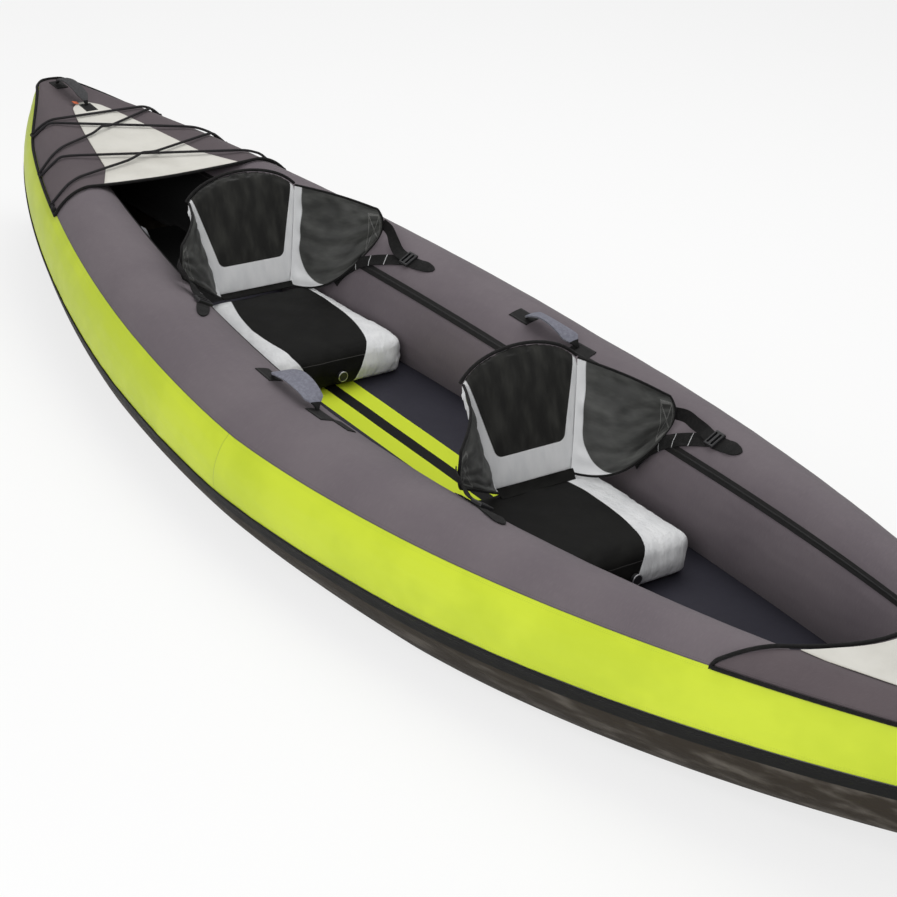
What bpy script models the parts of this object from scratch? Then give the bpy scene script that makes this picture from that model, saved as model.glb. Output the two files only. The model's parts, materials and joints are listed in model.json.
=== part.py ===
"""Inflatable canoe: skins over three air bladders, two laced decks, two strapped seats.

Axes: +X to the bow, +Y to port, +Z up. The origin is under the middle of the hull, on the ground.
All lengths are metres, all angles around a tube are degrees: 0 outermost, 90 on top, 180 innermost.
"""
import math
from bisect import bisect_right

import bpy
import bmesh
from mathutils import Matrix, Vector

# Hull, overall
LENGTH = 3.32
BEAM = 0.96
STEM_HALF = 0.008
NOSE_LENGTH = 0.050
STEM_LEAN = 0.030
TUBE_RADIUS = 0.137
TUBE_ROUNDING = 0.012
CROWN_HEIGHT = 0.271
SHEER = 0.086
SHEER_POWER = 1.25
ROCKER = 0.150
ROCKER_POWER = 1.47
FLAT_PART = 0.30
PLAN_AFT = (1.70, 0.72)
PLAN_FORE = (1.76, 0.87)
TAPER_AFT = (0.556, 1.92)
TAPER_FORE = (0.838, 1.22)

# Skins and seams
WALL = 0.0012
GAP = 0.0003
UPPER_SEAM = (38.9, 9.7)
LOWER_SEAM = (-10.5, 4.6)
ZIP_ANGLE = 140.0
ZIP_HALF_ANGLE = 4.0
ZIP_LENGTH = 2.24
INNER_COVER_END = 235.0
BEAD_RISE = 0.003
BLADDER_END = 0.045
BLADDER_GAP = 0.0011
BLADDER_SLACK = 0.006
BLADDER_WALL_X = 0.0

# Floor
FLOOR_HEIGHT = 0.080
FLOOR_SIDE_GAP = 0.005
FLOOR_HALF_LENGTH = 1.17

# Decks
DECK_LIFT = 0.0020
DECK_SAG = 0.010
SAG_BREADTH = 0.20
STERN_EDGE = 1.013
STERN_EDGE_DEPTH = 0.008
BOW_EDGE = 1.100
BOW_EDGE_DEPTH = 0.135
PANEL_LIFT = 0.0010
STERN_PANEL = ((1.020, 0.172), (1.10, 0.126), (1.20, 0.102), (1.30, 0.078), (1.38, 0.056),
               (1.44, 0.036), (1.465, 0.014))
BOW_PANEL = ((1.200, 0.166), (1.24, 0.158), (1.29, 0.138), (1.35, 0.116), (1.42, 0.086),
             (1.48, 0.056), (1.52, 0.020))
PIPING_RADIUS = 0.0036

# Deck cord
CORD_RADIUS = 0.003
CORD_LOOPS = (1.385, 1.200, 1.045)
LOOP_RADIUS = 0.0050
LOOP_WIRE = 0.0012

# Handles
HANDLE_ARCH = 0.030
HANDLE_WIDTH = 0.038
HANDLE_END_WIDTH = 0.006
HANDLE_THICKNESS = 0.0036
HANDLE_KNUCKLE = 0.0024
PATCH_THICKNESS = 0.0012
PATCH_LIFT = 0.0006
SIDE_HANDLE = (-0.100, 0.062)
SIDE_HANDLE_ANGLE = 104.0
SIDE_PATCH_LENGTH = 0.056
SIDE_PATCH_WIDTH = 0.032
TONGUE = (0.112, 0.156)
TONGUE_ANGLES = (107.5, 116.0)
END_HANDLE = (1.592, 1.440)
END_PATCH_WIDTH = 0.030

# Valves
VALVE_RADIUS = 0.021
VALVE_HEIGHT = 0.006
LID_RADIUS = 0.016
LID_THICKNESS = 0.004
TUBE_VALVE = (-0.920, 156.0)
FLOOR_VALVE_X = -0.930
CUSHION_VALVE_RADIUS = 0.010
CUSHION_VALVE_STAND = 0.0044
CUSHION_VALVE_ROOT = 0.012

# Seats
SEATS = (
    ("rear", -0.655, -0.495, (0.104, 0.250, 0.155), -0.452, 115.0),
    ("front", 0.343, 0.480, (0.082, 0.250, 0.124), 0.520, 115.0),
)
RECLINE = 18.6
CUSHION_LENGTH = 0.350
CUSHION_SIDE_ROOM = 0.041
CUSHION_WIDTH = BEAM - 4 * TUBE_RADIUS - 2 * CUSHION_SIDE_ROOM
CUSHION_HEIGHT = 0.094
CUSHION_CROWDING = 0.55
BACK_HEIGHT = 0.254
BACK_BOTTOM_HALF = 0.094
BACK_TOP_HALF = 0.130
BACK_THICKNESS = 0.018
BACK_EDGE = 0.005
CROWN_DROP = 0.034
WING_THICKNESS = 0.005
WING_FLARE = (0.060, 0.150, 0.010)
STRAP_WIDTH = 0.025
STRAP_THICKNESS = 0.0018
ANCHOR_BACK = 0.150
ANCHOR_FRONT = 0.070
ANCHOR_LOW_ANGLE = 166.0
BUCKLE_SIZE = (0.026, 0.036, 0.007)

MATERIALS = {
    "green_coated": ((0.50, 0.62, 0.09), 0.38),
    "mauve_woven": ((0.17, 0.145, 0.155), 0.80),
    "deck_woven": ((0.13, 0.10, 0.115), 0.78),
    "ivory_coated": ((0.70, 0.67, 0.61), 0.55),
    "black_tarpaulin": ((0.030, 0.030, 0.032), 0.50),
    "black_webbing": ((0.018, 0.018, 0.020), 0.75),
    "floor_navy": ((0.042, 0.043, 0.056), 0.60),
    "grey_webbing": ((0.20, 0.20, 0.25), 0.75),
    "seat_black": ((0.022, 0.022, 0.025), 0.50),
    "seat_charcoal": ((0.035, 0.035, 0.038), 0.70),
    "seat_white": ((0.62, 0.62, 0.63), 0.55),
    "valve_plastic": ((0.10, 0.10, 0.11), 0.45),
    "bladder_film": ((0.35, 0.35, 0.37), 0.40),
    "cord_cover": ((0.05, 0.05, 0.055), 0.70),
}

HALF = LENGTH / 2
SKIN_END = HALF - NOSE_LENGTH


def clear_file():
    for obj in list(bpy.data.objects):
        bpy.data.objects.remove(obj, do_unlink=True)


def make_materials():
    for name, (colour, roughness) in MATERIALS.items():
        mat = bpy.data.materials.new(name)
        mat.use_nodes = True
        shader = mat.node_tree.nodes["Principled BSDF"]
        shader.inputs["Base Color"].default_value = (*colour, 1.0)
        shader.inputs["Roughness"].default_value = roughness
        shader.inputs["Metallic"].default_value = 0.0


# Hull shape

def hull_values(x):
    """Outer half breadth, half width, half height and middle height of one tube at x."""
    s = min(1.0, abs(x) / HALF)
    power, fullness = PLAN_FORE if x > 0 else PLAN_AFT
    taper, taper_power = TAPER_FORE if x > 0 else TAPER_AFT
    outer = STEM_HALF + (BEAM / 2 - STEM_HALF) * (1 - s ** power) ** fullness
    radius = TUBE_RADIUS * (1 - taper * s ** taper_power)
    half_width = 0.5 * (radius + outer / 2 - math.hypot(radius - outer / 2, TUBE_ROUNDING))
    bottom = bottom_height(x)
    top = CROWN_HEIGHT + SHEER * s ** SHEER_POWER
    return outer, half_width, (top - bottom) / 2, (top + bottom) / 2


def bottom_height(x):
    s = min(1.0, abs(x) / HALF)
    return ROCKER * (max(0.0, s - FLAT_PART) / (1 - FLAT_PART)) ** ROCKER_POWER


def make_stations():
    """Cross-sections shared by every skin: even along the cockpit, closer under the decks."""
    aft_step = STERN_EDGE / 6
    fore_step = BOW_EDGE / 6
    aft = [-aft_step * i for i in range(6, 0, -1)]
    fore = [fore_step * i for i in range(1, 7)]
    stern = [-(STERN_EDGE + (SKIN_END - STERN_EDGE) * t) for t in (1.0, 0.84, 0.65, 0.45, 0.24)]
    bow = [BOW_EDGE + (SKIN_END - BOW_EDGE) * t for t in (0.29, 0.49, 0.68, 0.85, 1.0)]
    return stern + aft + [0.0] + fore + bow


STATIONS = make_stations()
SECTIONS = [hull_values(x) for x in STATIONS]


def section(x):
    """Tube values at x, straight between two stations as the skins are."""
    i = min(max(bisect_right(STATIONS, x) - 1, 0), len(STATIONS) - 2)
    t = (x - STATIONS[i]) / (STATIONS[i + 1] - STATIONS[i])
    return [a + (b - a) * t for a, b in zip(SECTIONS[i], SECTIONS[i + 1])]


def tube_point(x, side, angle, lift=0.0):
    outer, half_width, half_height, middle = section(x)
    a = math.radians(angle)
    y = outer - half_width + (half_width + lift) * math.cos(a)
    return Vector((x, side * y, middle + (half_height + lift) * math.sin(a)))


def crown_line(x):
    outer, half_width, half_height, middle = section(x)
    return outer - half_width, middle + half_height


def upper_seam(x):
    return UPPER_SEAM[0] + UPPER_SEAM[1] * min(1.0, abs(x) / HALF) ** 3


def lower_seam(x):
    return LOWER_SEAM[0] + LOWER_SEAM[1] * min(1.0, abs(x) / HALF) ** 3


def seam_step(x):
    """Half of the gap between two skins at a seam, as an angle."""
    return math.degrees(GAP / 2 / section(x)[1])


def floor_top(x):
    return FLOOR_HEIGHT + 0.7 * bottom_height(x)


def spread(a, b, steps):
    return [a + (b - a) * i / steps for i in range(steps + 1)]


# Mesh helpers

def finish(mesh_data, name, material, sharp_angle=40.0):
    """A new object with outward faces and smooth shading, but for its sharp edges."""
    bmesh.ops.recalc_face_normals(mesh_data, faces=mesh_data.faces)
    for face in mesh_data.faces:
        face.smooth = True
    for edge in mesh_data.edges:
        if edge.calc_face_angle(0.0) > math.radians(sharp_angle):
            edge.smooth = False
    mesh = bpy.data.meshes.new(name)
    mesh_data.to_mesh(mesh)
    mesh_data.free()
    mesh.materials.append(bpy.data.materials[material])
    obj = bpy.data.objects.new(name, mesh)
    bpy.context.collection.objects.link(obj)
    return obj


def closed_sheet(name, outer, inner, material, sharp_angle=40.0):
    """A closed solid between two grids of points with the same rows and columns."""
    mesh_data = bmesh.new()
    top = [[mesh_data.verts.new(p) for p in row] for row in outer]
    low = [[mesh_data.verts.new(p) for p in row] for row in inner]
    rows, columns = len(top), len(top[0])
    for i in range(rows - 1):
        for j in range(columns - 1):
            mesh_data.faces.new((top[i][j], top[i][j + 1], top[i + 1][j + 1], top[i + 1][j]))
            mesh_data.faces.new((low[i][j], low[i + 1][j], low[i + 1][j + 1], low[i][j + 1]))
    for i in range(rows - 1):
        for j in (0, columns - 1):
            mesh_data.faces.new((top[i][j], top[i + 1][j], low[i + 1][j], low[i][j]))
    for j in range(columns - 1):
        for i in (0, rows - 1):
            mesh_data.faces.new((top[i][j], top[i][j + 1], low[i][j + 1], low[i][j]))
    return finish(mesh_data, name, material, sharp_angle)


def closed_tube(name, rings, material):
    """A solid through rings of points, its two ends closed by one face each."""
    mesh_data = bmesh.new()
    loops = [[mesh_data.verts.new(p) for p in ring] for ring in rings]
    count = len(loops[0])
    for first, second in zip(loops, loops[1:]):
        for j in range(count):
            k = (j + 1) % count
            mesh_data.faces.new((first[j], first[k], second[k], second[j]))
    mesh_data.faces.new(loops[0])
    mesh_data.faces.new(loops[-1])
    return finish(mesh_data, name, material)


def cord_mesh(name, points, radius, material, cyclic=False, rings=2):
    """A round cord along points, its ends filled, as a mesh object."""
    curve = bpy.data.curves.new(name, "CURVE")
    curve.dimensions = "3D"
    curve.bevel_depth = radius
    curve.bevel_resolution = rings
    curve.use_fill_caps = not cyclic
    curve.resolution_u = 1
    curve.render_resolution_u = 0
    spline = curve.splines.new("POLY")
    spline.points.add(len(points) - 1)
    for point, place in zip(spline.points, points):
        point.co = (*place, 1.0)
    spline.use_cyclic_u = cyclic
    shape = bpy.data.objects.new(name, curve)
    bpy.context.collection.objects.link(shape)
    bpy.context.view_layer.update()
    mesh = bpy.data.meshes.new_from_object(shape)
    bpy.data.objects.remove(shape, do_unlink=True)
    bpy.data.curves.remove(curve)
    mesh.name = name
    mesh.materials.clear()
    mesh.materials.append(bpy.data.materials[material])
    welded = bmesh.new()
    welded.from_mesh(mesh)
    bmesh.ops.remove_doubles(welded, verts=welded.verts, dist=0.00001)
    welded.to_mesh(mesh)
    welded.free()
    for face in mesh.polygons:
        face.use_smooth = True
    obj = bpy.data.objects.new(name, mesh)
    bpy.context.collection.objects.link(obj)
    return obj


def smooth_path(points, steps):
    """Points on a smooth curve through the given ones, with so many steps on each span."""
    ends = [points[0] * 2 - points[1]] + list(points) + [points[-1] * 2 - points[-2]]
    path = [points[0]]
    for i, parts in enumerate(steps):
        a, b, c, d = ends[i:i + 4]
        for n in range(1, parts + 1):
            t = n / parts
            path.append(0.5 * (2 * b + (c - a) * t + (2 * a - 5 * b + 4 * c - d) * t * t
                               + (3 * b - a - 3 * c + d) * t * t * t))
    return path


def disc(name, radius, height, material, segments=24, rim=0.0008):
    """A round plate standing on z = 0, with a chamfered upper rim."""
    mesh_data = bmesh.new()
    rings = []
    for ring_radius, z in ((radius, 0.0), (radius, height - rim), (radius - rim, height)):
        turn = [2 * math.pi * i / segments for i in range(segments)]
        points = [(ring_radius * math.cos(a), ring_radius * math.sin(a), z) for a in turn]
        rings.append([mesh_data.verts.new(p) for p in points])
    for first, second in zip(rings, rings[1:]):
        for j in range(segments):
            k = (j + 1) % segments
            mesh_data.faces.new((first[j], first[k], second[k], second[j]))
    mesh_data.faces.new(rings[0])
    mesh_data.faces.new(rings[-1])
    return finish(mesh_data, name, material)


def join_solids(base, others):
    """Fuses the other solids into the base one."""
    for other in others:
        union = base.modifiers.new("union", "BOOLEAN")
        union.operation = "UNION"
        union.solver = "EXACT"
        union.object = other
        other.hide_render = True
        other.display_type = "WIRE"
    bpy.context.view_layer.update()
    fused = bpy.data.meshes.new_from_object(base.evaluated_get(bpy.context.evaluated_depsgraph_get()))
    base.modifiers.clear()
    material = base.data.materials[0]
    base.data = fused
    fused.materials.clear()
    fused.materials.append(material)
    for face in fused.polygons:
        face.material_index = 0
    for other in others:
        bpy.data.objects.remove(other, do_unlink=True)
    return base


# Hull

def nose_rows(sign, angles, side, lift, squeeze=0.0):
    """The last two rows of a skin: it closes on the stem, which leans back at its top and bottom."""
    x_end = sign * SKIN_END
    outer, half_width, half_height, middle = section(x_end)
    rows = []
    for share in (0.62, 1.0):
        row = []
        for angle in angles:
            end_point = tube_point(x_end, side, angle, lift)
            height = (end_point.z - middle) / half_height
            reach = NOSE_LENGTH - STEM_LEAN * abs(min(1.0, max(-1.0, height))) ** 2.5
            if lift < -GAP:
                reach -= 0.004
            breadth = abs(end_point.y) * (1 - share ** 1.7) * (1 - squeeze) + abs(end_point.y) * squeeze
            breadth = max(breadth, GAP / 2 if squeeze == 0 else breadth)
            row.append(Vector((x_end + sign * reach * share, side * breadth, end_point.z)))
        rows.append(row)
    return rows


def skin(name, side, low_angle, high_angle, steps, material, close_nose):
    outer_rows, inner_rows = [], []
    for x in STATIONS:
        angles = spread(low_angle(x) + seam_step(x), high_angle(x) - seam_step(x), steps)
        outer_rows.append([tube_point(x, side, a) for a in angles])
        inner_rows.append([tube_point(x, side, a, -WALL) for a in angles])
    if close_nose:
        for sign in (-1, 1):
            x = sign * SKIN_END
            angles = spread(low_angle(x) + seam_step(x), high_angle(x) - seam_step(x), steps)
            for rows, lift in ((outer_rows, 0.0), (inner_rows, -WALL)):
                extra = nose_rows(sign, angles, side, lift)
                if sign > 0:
                    rows.extend(extra)
                else:
                    rows[0:0] = list(reversed(extra))
    closed_sheet(name, outer_rows, inner_rows, material)


def build_skins():
    for side, word in ((1, "port"), (-1, "starboard")):
        skin("side_band_" + word, side, lower_seam, upper_seam, 4, "green_coated", True)
        skin("top_cover_" + word, side, upper_seam, lambda x: ZIP_ANGLE, 8, "mauve_woven", False)
        skin("inner_cover_" + word, side, lambda x: ZIP_ANGLE, lambda x: INNER_COVER_END, 6, "mauve_woven", False)


def bottom_row(x, lift, bead):
    """One row across the bottom, from the port lower seam under the boat to the starboard one."""
    seam = lower_seam(x) - seam_step(x)
    angles = [seam, seam - 3.6, seam - 5.0] + spread(seam - 5.0, -90.0, 3)[1:]
    raised = [bead, bead, 0.0, 0.0, 0.0, 0.0]
    port = [tube_point(x, 1, a, lift + extra) for a, extra in zip(angles, raised)]
    return port + [Vector((p.x, -p.y, p.z)) for p in reversed(port)]


def bottom_nose(sign, row, lift):
    rows = []
    middle = section(sign * SKIN_END)[3]
    half_height = section(sign * SKIN_END)[2]
    for share in (0.62, 1.0):
        new_row = []
        for p in row:
            height = (p.z - middle) / half_height
            reach = NOSE_LENGTH - STEM_LEAN * min(1.0, abs(height)) ** 2.5
            if lift < -GAP:
                reach -= 0.004
            breadth = p.y * (1 - 0.88 * share ** 1.7)
            new_row.append(Vector((p.x + sign * reach * share, breadth, p.z)))
        rows.append(new_row)
    return rows


def build_bottom():
    outer_rows = [bottom_row(x, 0.0, BEAD_RISE) for x in STATIONS]
    inner_rows = [bottom_row(x, -WALL, 0.0) for x in STATIONS]
    for rows, lift in ((outer_rows, 0.0), (inner_rows, -WALL)):
        rows[0:0] = list(reversed(bottom_nose(-1, rows[0], lift)))
        rows.extend(bottom_nose(1, rows[-1], lift))
    closed_sheet("hull_bottom", outer_rows, inner_rows, "black_tarpaulin")


def build_bladders():
    """Two air chambers in each side tube, end to end at the middle of the boat."""
    reach = HALF - BLADDER_END
    aft = [x for x in STATIONS if -reach < x < BLADDER_WALL_X - GAP] + [BLADDER_WALL_X - GAP / 2]
    fore = [BLADDER_WALL_X + GAP / 2] + [x for x in STATIONS if BLADDER_WALL_X + GAP < x < reach]
    for side, word in ((1, "port"), (-1, "starboard")):
        build_chamber("tube_bladder_" + word + "_aft", side, aft)
        build_chamber("tube_bladder_" + word + "_fore", side, fore)


def build_chamber(name, side, places):
    """One air chamber: it follows the skins a little inside them, and is flat where two meet."""
    rings = []
    for x in places:
        lift = -(WALL + BLADDER_GAP + BLADDER_SLACK * max(0.0, abs(x) / HALF - 0.8) * 5)
        band = spread(lower_seam(x), upper_seam(x), 2)
        top = spread(upper_seam(x), ZIP_ANGLE, 4)[1:]
        inner = spread(ZIP_ANGLE, INNER_COVER_END, 3)[1:]
        under = spread(INNER_COVER_END, 270.0, 2)[1:]
        bilge = spread(270.0, 360.0 + lower_seam(x) - 5.0, 3)[1:]
        rings.append([tube_point(x, side, a, lift) for a in band + top + inner + under + bilge])
    closed_tube(name, rings, "bladder_film")


def inner_wall(x, z, gap):
    """Half breadth between the two inner covers at height z."""
    outer, half_width, half_height, middle = section(x)
    share = max(-1.0, min(1.0, (z - middle) / half_height))
    return outer - half_width - half_width * math.sqrt(1 - share * share) - gap


def floor_stations():
    places = [x for x in STATIONS if abs(x) < FLOOR_HALF_LENGTH - 0.03]
    return [-FLOOR_HALF_LENGTH] + places + [FLOOR_HALF_LENGTH]


def build_floor():
    rings = []
    for x in floor_stations():
        base = section_bottom(x) + GAP + 0.0002
        top = floor_top(x) - WALL - GAP
        heights = (top, base + (top - base) * 0.72, base + (top - base) * 0.45, base + 0.016)
        side = [(inner_wall(x, z, FLOOR_SIDE_GAP), z) for z in heights]
        lowest = (side[-1][0] - 0.004, base)
        port = side + [lowest]
        ring = [Vector((x, y, z)) for y, z in port] + [Vector((x, -y, z)) for y, z in reversed(port)]
        rings.append(ring)
    closed_tube("floor_bladder", rings, "bladder_film")
    upper, lower = [], []
    for x in floor_stations():
        top = floor_top(x)
        columns = spread(-1.0, 1.0, 6)
        half = inner_wall(x, top - WALL, 0.0016)
        upper.append([Vector((x, half * c, top)) for c in columns])
        lower.append([Vector((x, half * c, top - WALL)) for c in columns])
    closed_sheet("floor_cover", upper, lower, "floor_navy")


def section_bottom(x):
    """Height of the inside of the bottom skin on the centre line."""
    outer, half_width, half_height, middle = section(x)
    return middle - half_height + WALL


def build_zips():
    places = [x for x in STATIONS if abs(x) < ZIP_LENGTH / 2 - 0.03]
    places = [-ZIP_LENGTH / 2] + places + [ZIP_LENGTH / 2]
    angles = spread(ZIP_ANGLE - ZIP_HALF_ANGLE, ZIP_ANGLE + ZIP_HALF_ANGLE, 2)
    for side, word in ((1, "port"), (-1, "starboard")):
        upper = [[tube_point(x, side, a, 0.0016) for a in angles] for x in places]
        lower = [[tube_point(x, side, a, GAP) for a in angles] for x in places]
        closed_sheet("zip_strip_" + word, upper, lower, "black_webbing")


# Decks

def deck_columns(x):
    """Across a deck: on each tube from its seam to its crown, then nearly flat between the crowns."""
    seam = upper_seam(x) + 1.2
    return spread(seam, 90.0, 4)


def deck_height(x, y, lift):
    """Height of the deck's outer face at x, y."""
    crown_y, crown_z = crown_line(x)
    y = abs(y)
    if y <= crown_y:
        third = crown_y / 3
        i = min(2, int(y / third))
        depth = DECK_SAG * min(1.0, (crown_y / SAG_BREADTH) ** 2)
        near = -depth * (1 - (i / 3) ** 2)
        far = -depth * (1 - ((i + 1) / 3) ** 2)
        sag = near + (far - near) * (y / third - i)
        return crown_z + DECK_LIFT + WALL + sag + lift
    outer, half_width, half_height, middle = section(x)
    radius = half_width + DECK_LIFT + WALL + lift
    share = min(1.0, (y - crown_y) / radius)
    return middle + (half_height + DECK_LIFT + WALL + lift) * math.sqrt(1 - share * share)


def deck_row(places, lift):
    """Points across a deck, port to starboard, each column at its own x."""
    row = []
    for j, x in enumerate(places):
        columns = deck_columns(x)
        if j <= 4:
            row.append(tube_point(x, 1, columns[j], DECK_LIFT + lift))
        elif j >= 10:
            row.append(tube_point(x, -1, columns[14 - j], DECK_LIFT + lift))
        else:
            y = crown_line(x)[0] * (7 - j) / 3
            row.append(Vector((x, y, deck_height(x, y, lift - WALL))))
    return row


def edge_x(sign, j):
    """Where column j of a deck meets the cockpit edge."""
    edge, depth = (STERN_EDGE, STERN_EDGE_DEPTH) if sign < 0 else (BOW_EDGE, BOW_EDGE_DEPTH)
    share = abs(7 - j) / 7
    if abs(7 - j) > 3:
        share = 0.66 + 0.34 * (abs(7 - j) - 3) / 4
    else:
        share = 0.66 * abs(7 - j) / 3
    return sign * (edge + 0.004 + depth * (1 - share * share))


def deck_rows(sign, lift, edge_shift=0.0):
    rows = [deck_row([edge_x(sign, j) - sign * edge_shift for j in range(15)], lift)]
    stations = [x for x in STATIONS if sign * x > (STERN_EDGE if sign < 0 else BOW_EDGE) + 0.05]
    if sign < 0:
        stations.reverse()
    rows += [deck_row([x] * 15, lift) for x in stations]
    last = rows[-1]
    middle, half_height = section(sign * SKIN_END)[3], section(sign * SKIN_END)[2]
    for share in (0.62, 1.0):
        new_row = []
        for p in last:
            height = min(1.0, abs(p.z - middle) / half_height)
            reach = NOSE_LENGTH - STEM_LEAN * height ** 2.5
            if lift < GAP:
                reach -= 0.002
            new_row.append(Vector((p.x + sign * reach * share, p.y * (1 - 0.88 * share ** 1.7), p.z)))
        rows.append(new_row)
    return rows


def panel_rows(sign, outline, lift):
    """An ivory panel down the middle of a deck, as wide as its outline says at each place."""
    places = [abs(x) for x in STATIONS if outline[0][0] < sign * x < outline[-1][0]]
    places += [x for x, half in outline]
    places = sorted(set(places))
    kept = [places[0]]
    for x in places[1:]:
        if x - kept[-1] > 0.012:
            kept.append(x)
    rows = []
    for x in kept:
        i = max(k for k in range(len(outline) - 1) if outline[k][0] <= x + 1e-9)
        t = (x - outline[i][0]) / (outline[i + 1][0] - outline[i][0])
        half = outline[i][1] + (outline[i + 1][1] - outline[i][1]) * t
        row = []
        for share in spread(1.0, -1.0, 6):
            place = x
            if x == kept[0]:
                place = panel_edge(sign, half * share) + 0.006
            row.append(Vector((sign * place, half * share, deck_height(sign * place, half * share, lift))))
        rows.append(row)
    return rows


def panel_edge(sign, y):
    """Cockpit edge of a deck at breadth y, as a distance from the middle of the boat."""
    edge = [(deck_row([edge_x(sign, j) for j in range(15)], 0.0)[j]) for j in range(15)]
    for a, b in zip(edge, edge[1:]):
        if b.y <= y <= a.y:
            t = (y - a.y) / (b.y - a.y)
            return sign * (a.x + (b.x - a.x) * t)
    return sign * edge[7].x


def build_decks():
    for sign, word, outline in ((-1, "stern", STERN_PANEL), (1, "bow", BOW_PANEL)):
        closed_sheet(word + "_deck", deck_rows(sign, WALL), deck_rows(sign, 0.0), "deck_woven")
        upper = panel_rows(sign, outline, PANEL_LIFT + WALL)
        lower = panel_rows(sign, outline, PANEL_LIFT)
        closed_sheet(word + "_deck_panel", upper, lower, "ivory_coated")
        build_trim(sign, word)


def arc_angle(x, angle, length):
    """The angle that covers a length along a tube's surface near the given angle."""
    outer, half_width, half_height, middle = section(x)
    a = math.radians(angle)
    return math.degrees(length / math.hypot(half_width * math.sin(a), half_height * math.cos(a)))


def piping_point(x, side):
    """Middle of the piping beside a deck's seam."""
    seam = deck_columns(x)[0]
    return tube_point(x, side, seam - arc_angle(x, seam, PIPING_RADIUS + 0.0012), PIPING_RADIUS + 0.0014)


def edge_points(sign):
    """Middle of the piping along the cockpit edge, port to starboard, just off the deck's edge."""
    line = deck_row([edge_x(sign, j) for j in range(15)], PIPING_RADIUS + 0.0036 - DECK_LIFT)
    points = []
    for j in range(15):
        tangent = line[min(j + 1, 14)] - line[max(j - 1, 0)]
        upward = Vector((0, 0, 1)) if 3 < j < 11 else line[j] - Vector((line[j].x, *tube_middle(line[j])))
        outward = upward.cross(tangent).normalized()
        if outward.x * sign > 0:
            outward = -outward
        points.append(line[j] + outward * 0.0040)
    from_seam, from_edge = piping_point(line[0].x, 1) - line[0], points[0] - line[0]
    corner = []
    for t in (0.33, 0.67):
        way = from_seam.lerp(from_edge, t).normalized()
        corner.append(line[0] + way * (from_seam.length * (1 - t) + from_edge.length * t + 0.0006) + Vector((0, 0.0008, 0.0012)))
    mirrored = [Vector((p.x, -p.y, p.z)) for p in reversed(corner)]
    return corner + points + mirrored


def tube_middle(point):
    outer, half_width, half_height, middle = section(point.x)
    return math.copysign(outer - half_width, point.y), middle


def trim_path(sign):
    """Round the deck: along the port seam to the stem, back along the starboard one, across the edge."""
    rows = deck_rows(sign, 0.0)
    port = [piping_point(edge_x(sign, 0), 1)]
    port += [piping_point(row[0].x, 1) for row in rows[1:-2]]
    outward = PIPING_RADIUS + 3 * GAP
    nose, stem = rows[-2][0], rows[-1][0]
    port.append(nose + Vector((sign * 0.0045, outward + 0.0030, 0.0030)))
    port.append(stem + Vector((sign * 0.0040, outward + 0.0010, 0.0022)))
    port.append(stem + Vector((sign * (outward + 0.0014), -0.001, 0.0022)))
    starboard = [Vector((p.x, -p.y, p.z)) for p in reversed(port)]
    return port + starboard + list(reversed(edge_points(sign)))


def build_trim(sign, word):
    trim = cord_mesh(word + "_deck_trim", trim_path(sign), PIPING_RADIUS, "black_webbing", cyclic=True)
    if sign < 0:
        rings = []
        for side in (1, -1):
            for x in CORD_LOOPS:
                rings.append(cord_loop(-x, side))
        join_solids(trim, rings)


def loop_centre(x, side):
    """Middle of the piping and of a cord loop on it, just inside the seam."""
    seam = deck_columns(x)[0]
    return piping_point(x, side), tube_point(x, side, seam + arc_angle(x, seam, 0.0012), 0.0103)


def cord_loop(x, side):
    piping, centre = loop_centre(x, side)
    ahead = (loop_centre(x + 0.02, side)[1] - centre).normalized()
    toward = (piping - centre)
    toward = (toward - ahead * toward.dot(ahead)).normalized()
    upward = ahead.cross(toward)
    points = []
    for i in range(10):
        a = 2 * math.pi * i / 10
        points.append(centre + (toward * math.cos(a) + upward * math.sin(a)) * LOOP_RADIUS)
    return cord_mesh("loop", points, LOOP_WIRE, "black_webbing", cyclic=True, rings=1)


def deck_cord_points():
    """The elastic cord's route, zigzag through the six loops with two crossings."""
    stops = [(CORD_LOOPS[2], -1), (CORD_LOOPS[1], 1), (CORD_LOOPS[0], -1),
             (CORD_LOOPS[0], 1), (CORD_LOOPS[1], -1), (CORD_LOOPS[2], 1)]
    headings = (-1, -1, -1, 1, 1, 1)
    raised = (True, False, False, True, False)
    controls, steps = [], []
    for i, (x, side) in enumerate(stops):
        centre = loop_centre(-x, side)[1]
        ahead = (loop_centre(-x + 0.02, side)[1] - loop_centre(-x - 0.02, side)[1]).normalized()
        ahead = ahead * headings[i]
        inboard = Vector((0, -side * 0.0025, 0.0008))
        before = centre - ahead * (0.022 if i == 0 else 0.009)
        after = centre + ahead * (0.022 if i == 5 else 0.009)
        controls += [before + (inboard if i > 0 else Vector()), centre, after + (inboard if i < 5 else Vector())]
        steps += [1, 1]
        if i < 5:
            free = span_points(stops[i], stops[i + 1], raised[i])
            controls += free
            steps += [1] + [2] * (len(free) - 1) + [1]
    return smooth_path(controls, steps)


def span_points(start, end, high):
    """The free part of the cord between two loops: over each crown and straight across."""
    first, last = loop_centre(-start[0], start[1])[1], loop_centre(-end[0], end[1])[1]
    span = []
    for t, angle in ((0.07, 62.0), (0.16, 84.0), (0.5, None), (0.84, 84.0), (0.93, 62.0)):
        p = first.lerp(last, t)
        lift = DECK_LIFT + WALL + CORD_RADIUS + 0.0030
        if angle is None:
            crown_z = crown_line(p.x)[1] + lift
            span.append(Vector((p.x, p.y, crown_z + (CORD_RADIUS * 2 + 0.003 if high else -0.001))))
            continue
        side = start[1] if t < 0.5 else end[1]
        seat = tube_point(p.x, side, angle, lift)
        share = (seat.y - first.y) / (last.y - first.y)
        seat = tube_point(first.x + (last.x - first.x) * share, side, angle, lift)
        span.append(seat)
    return span


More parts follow.
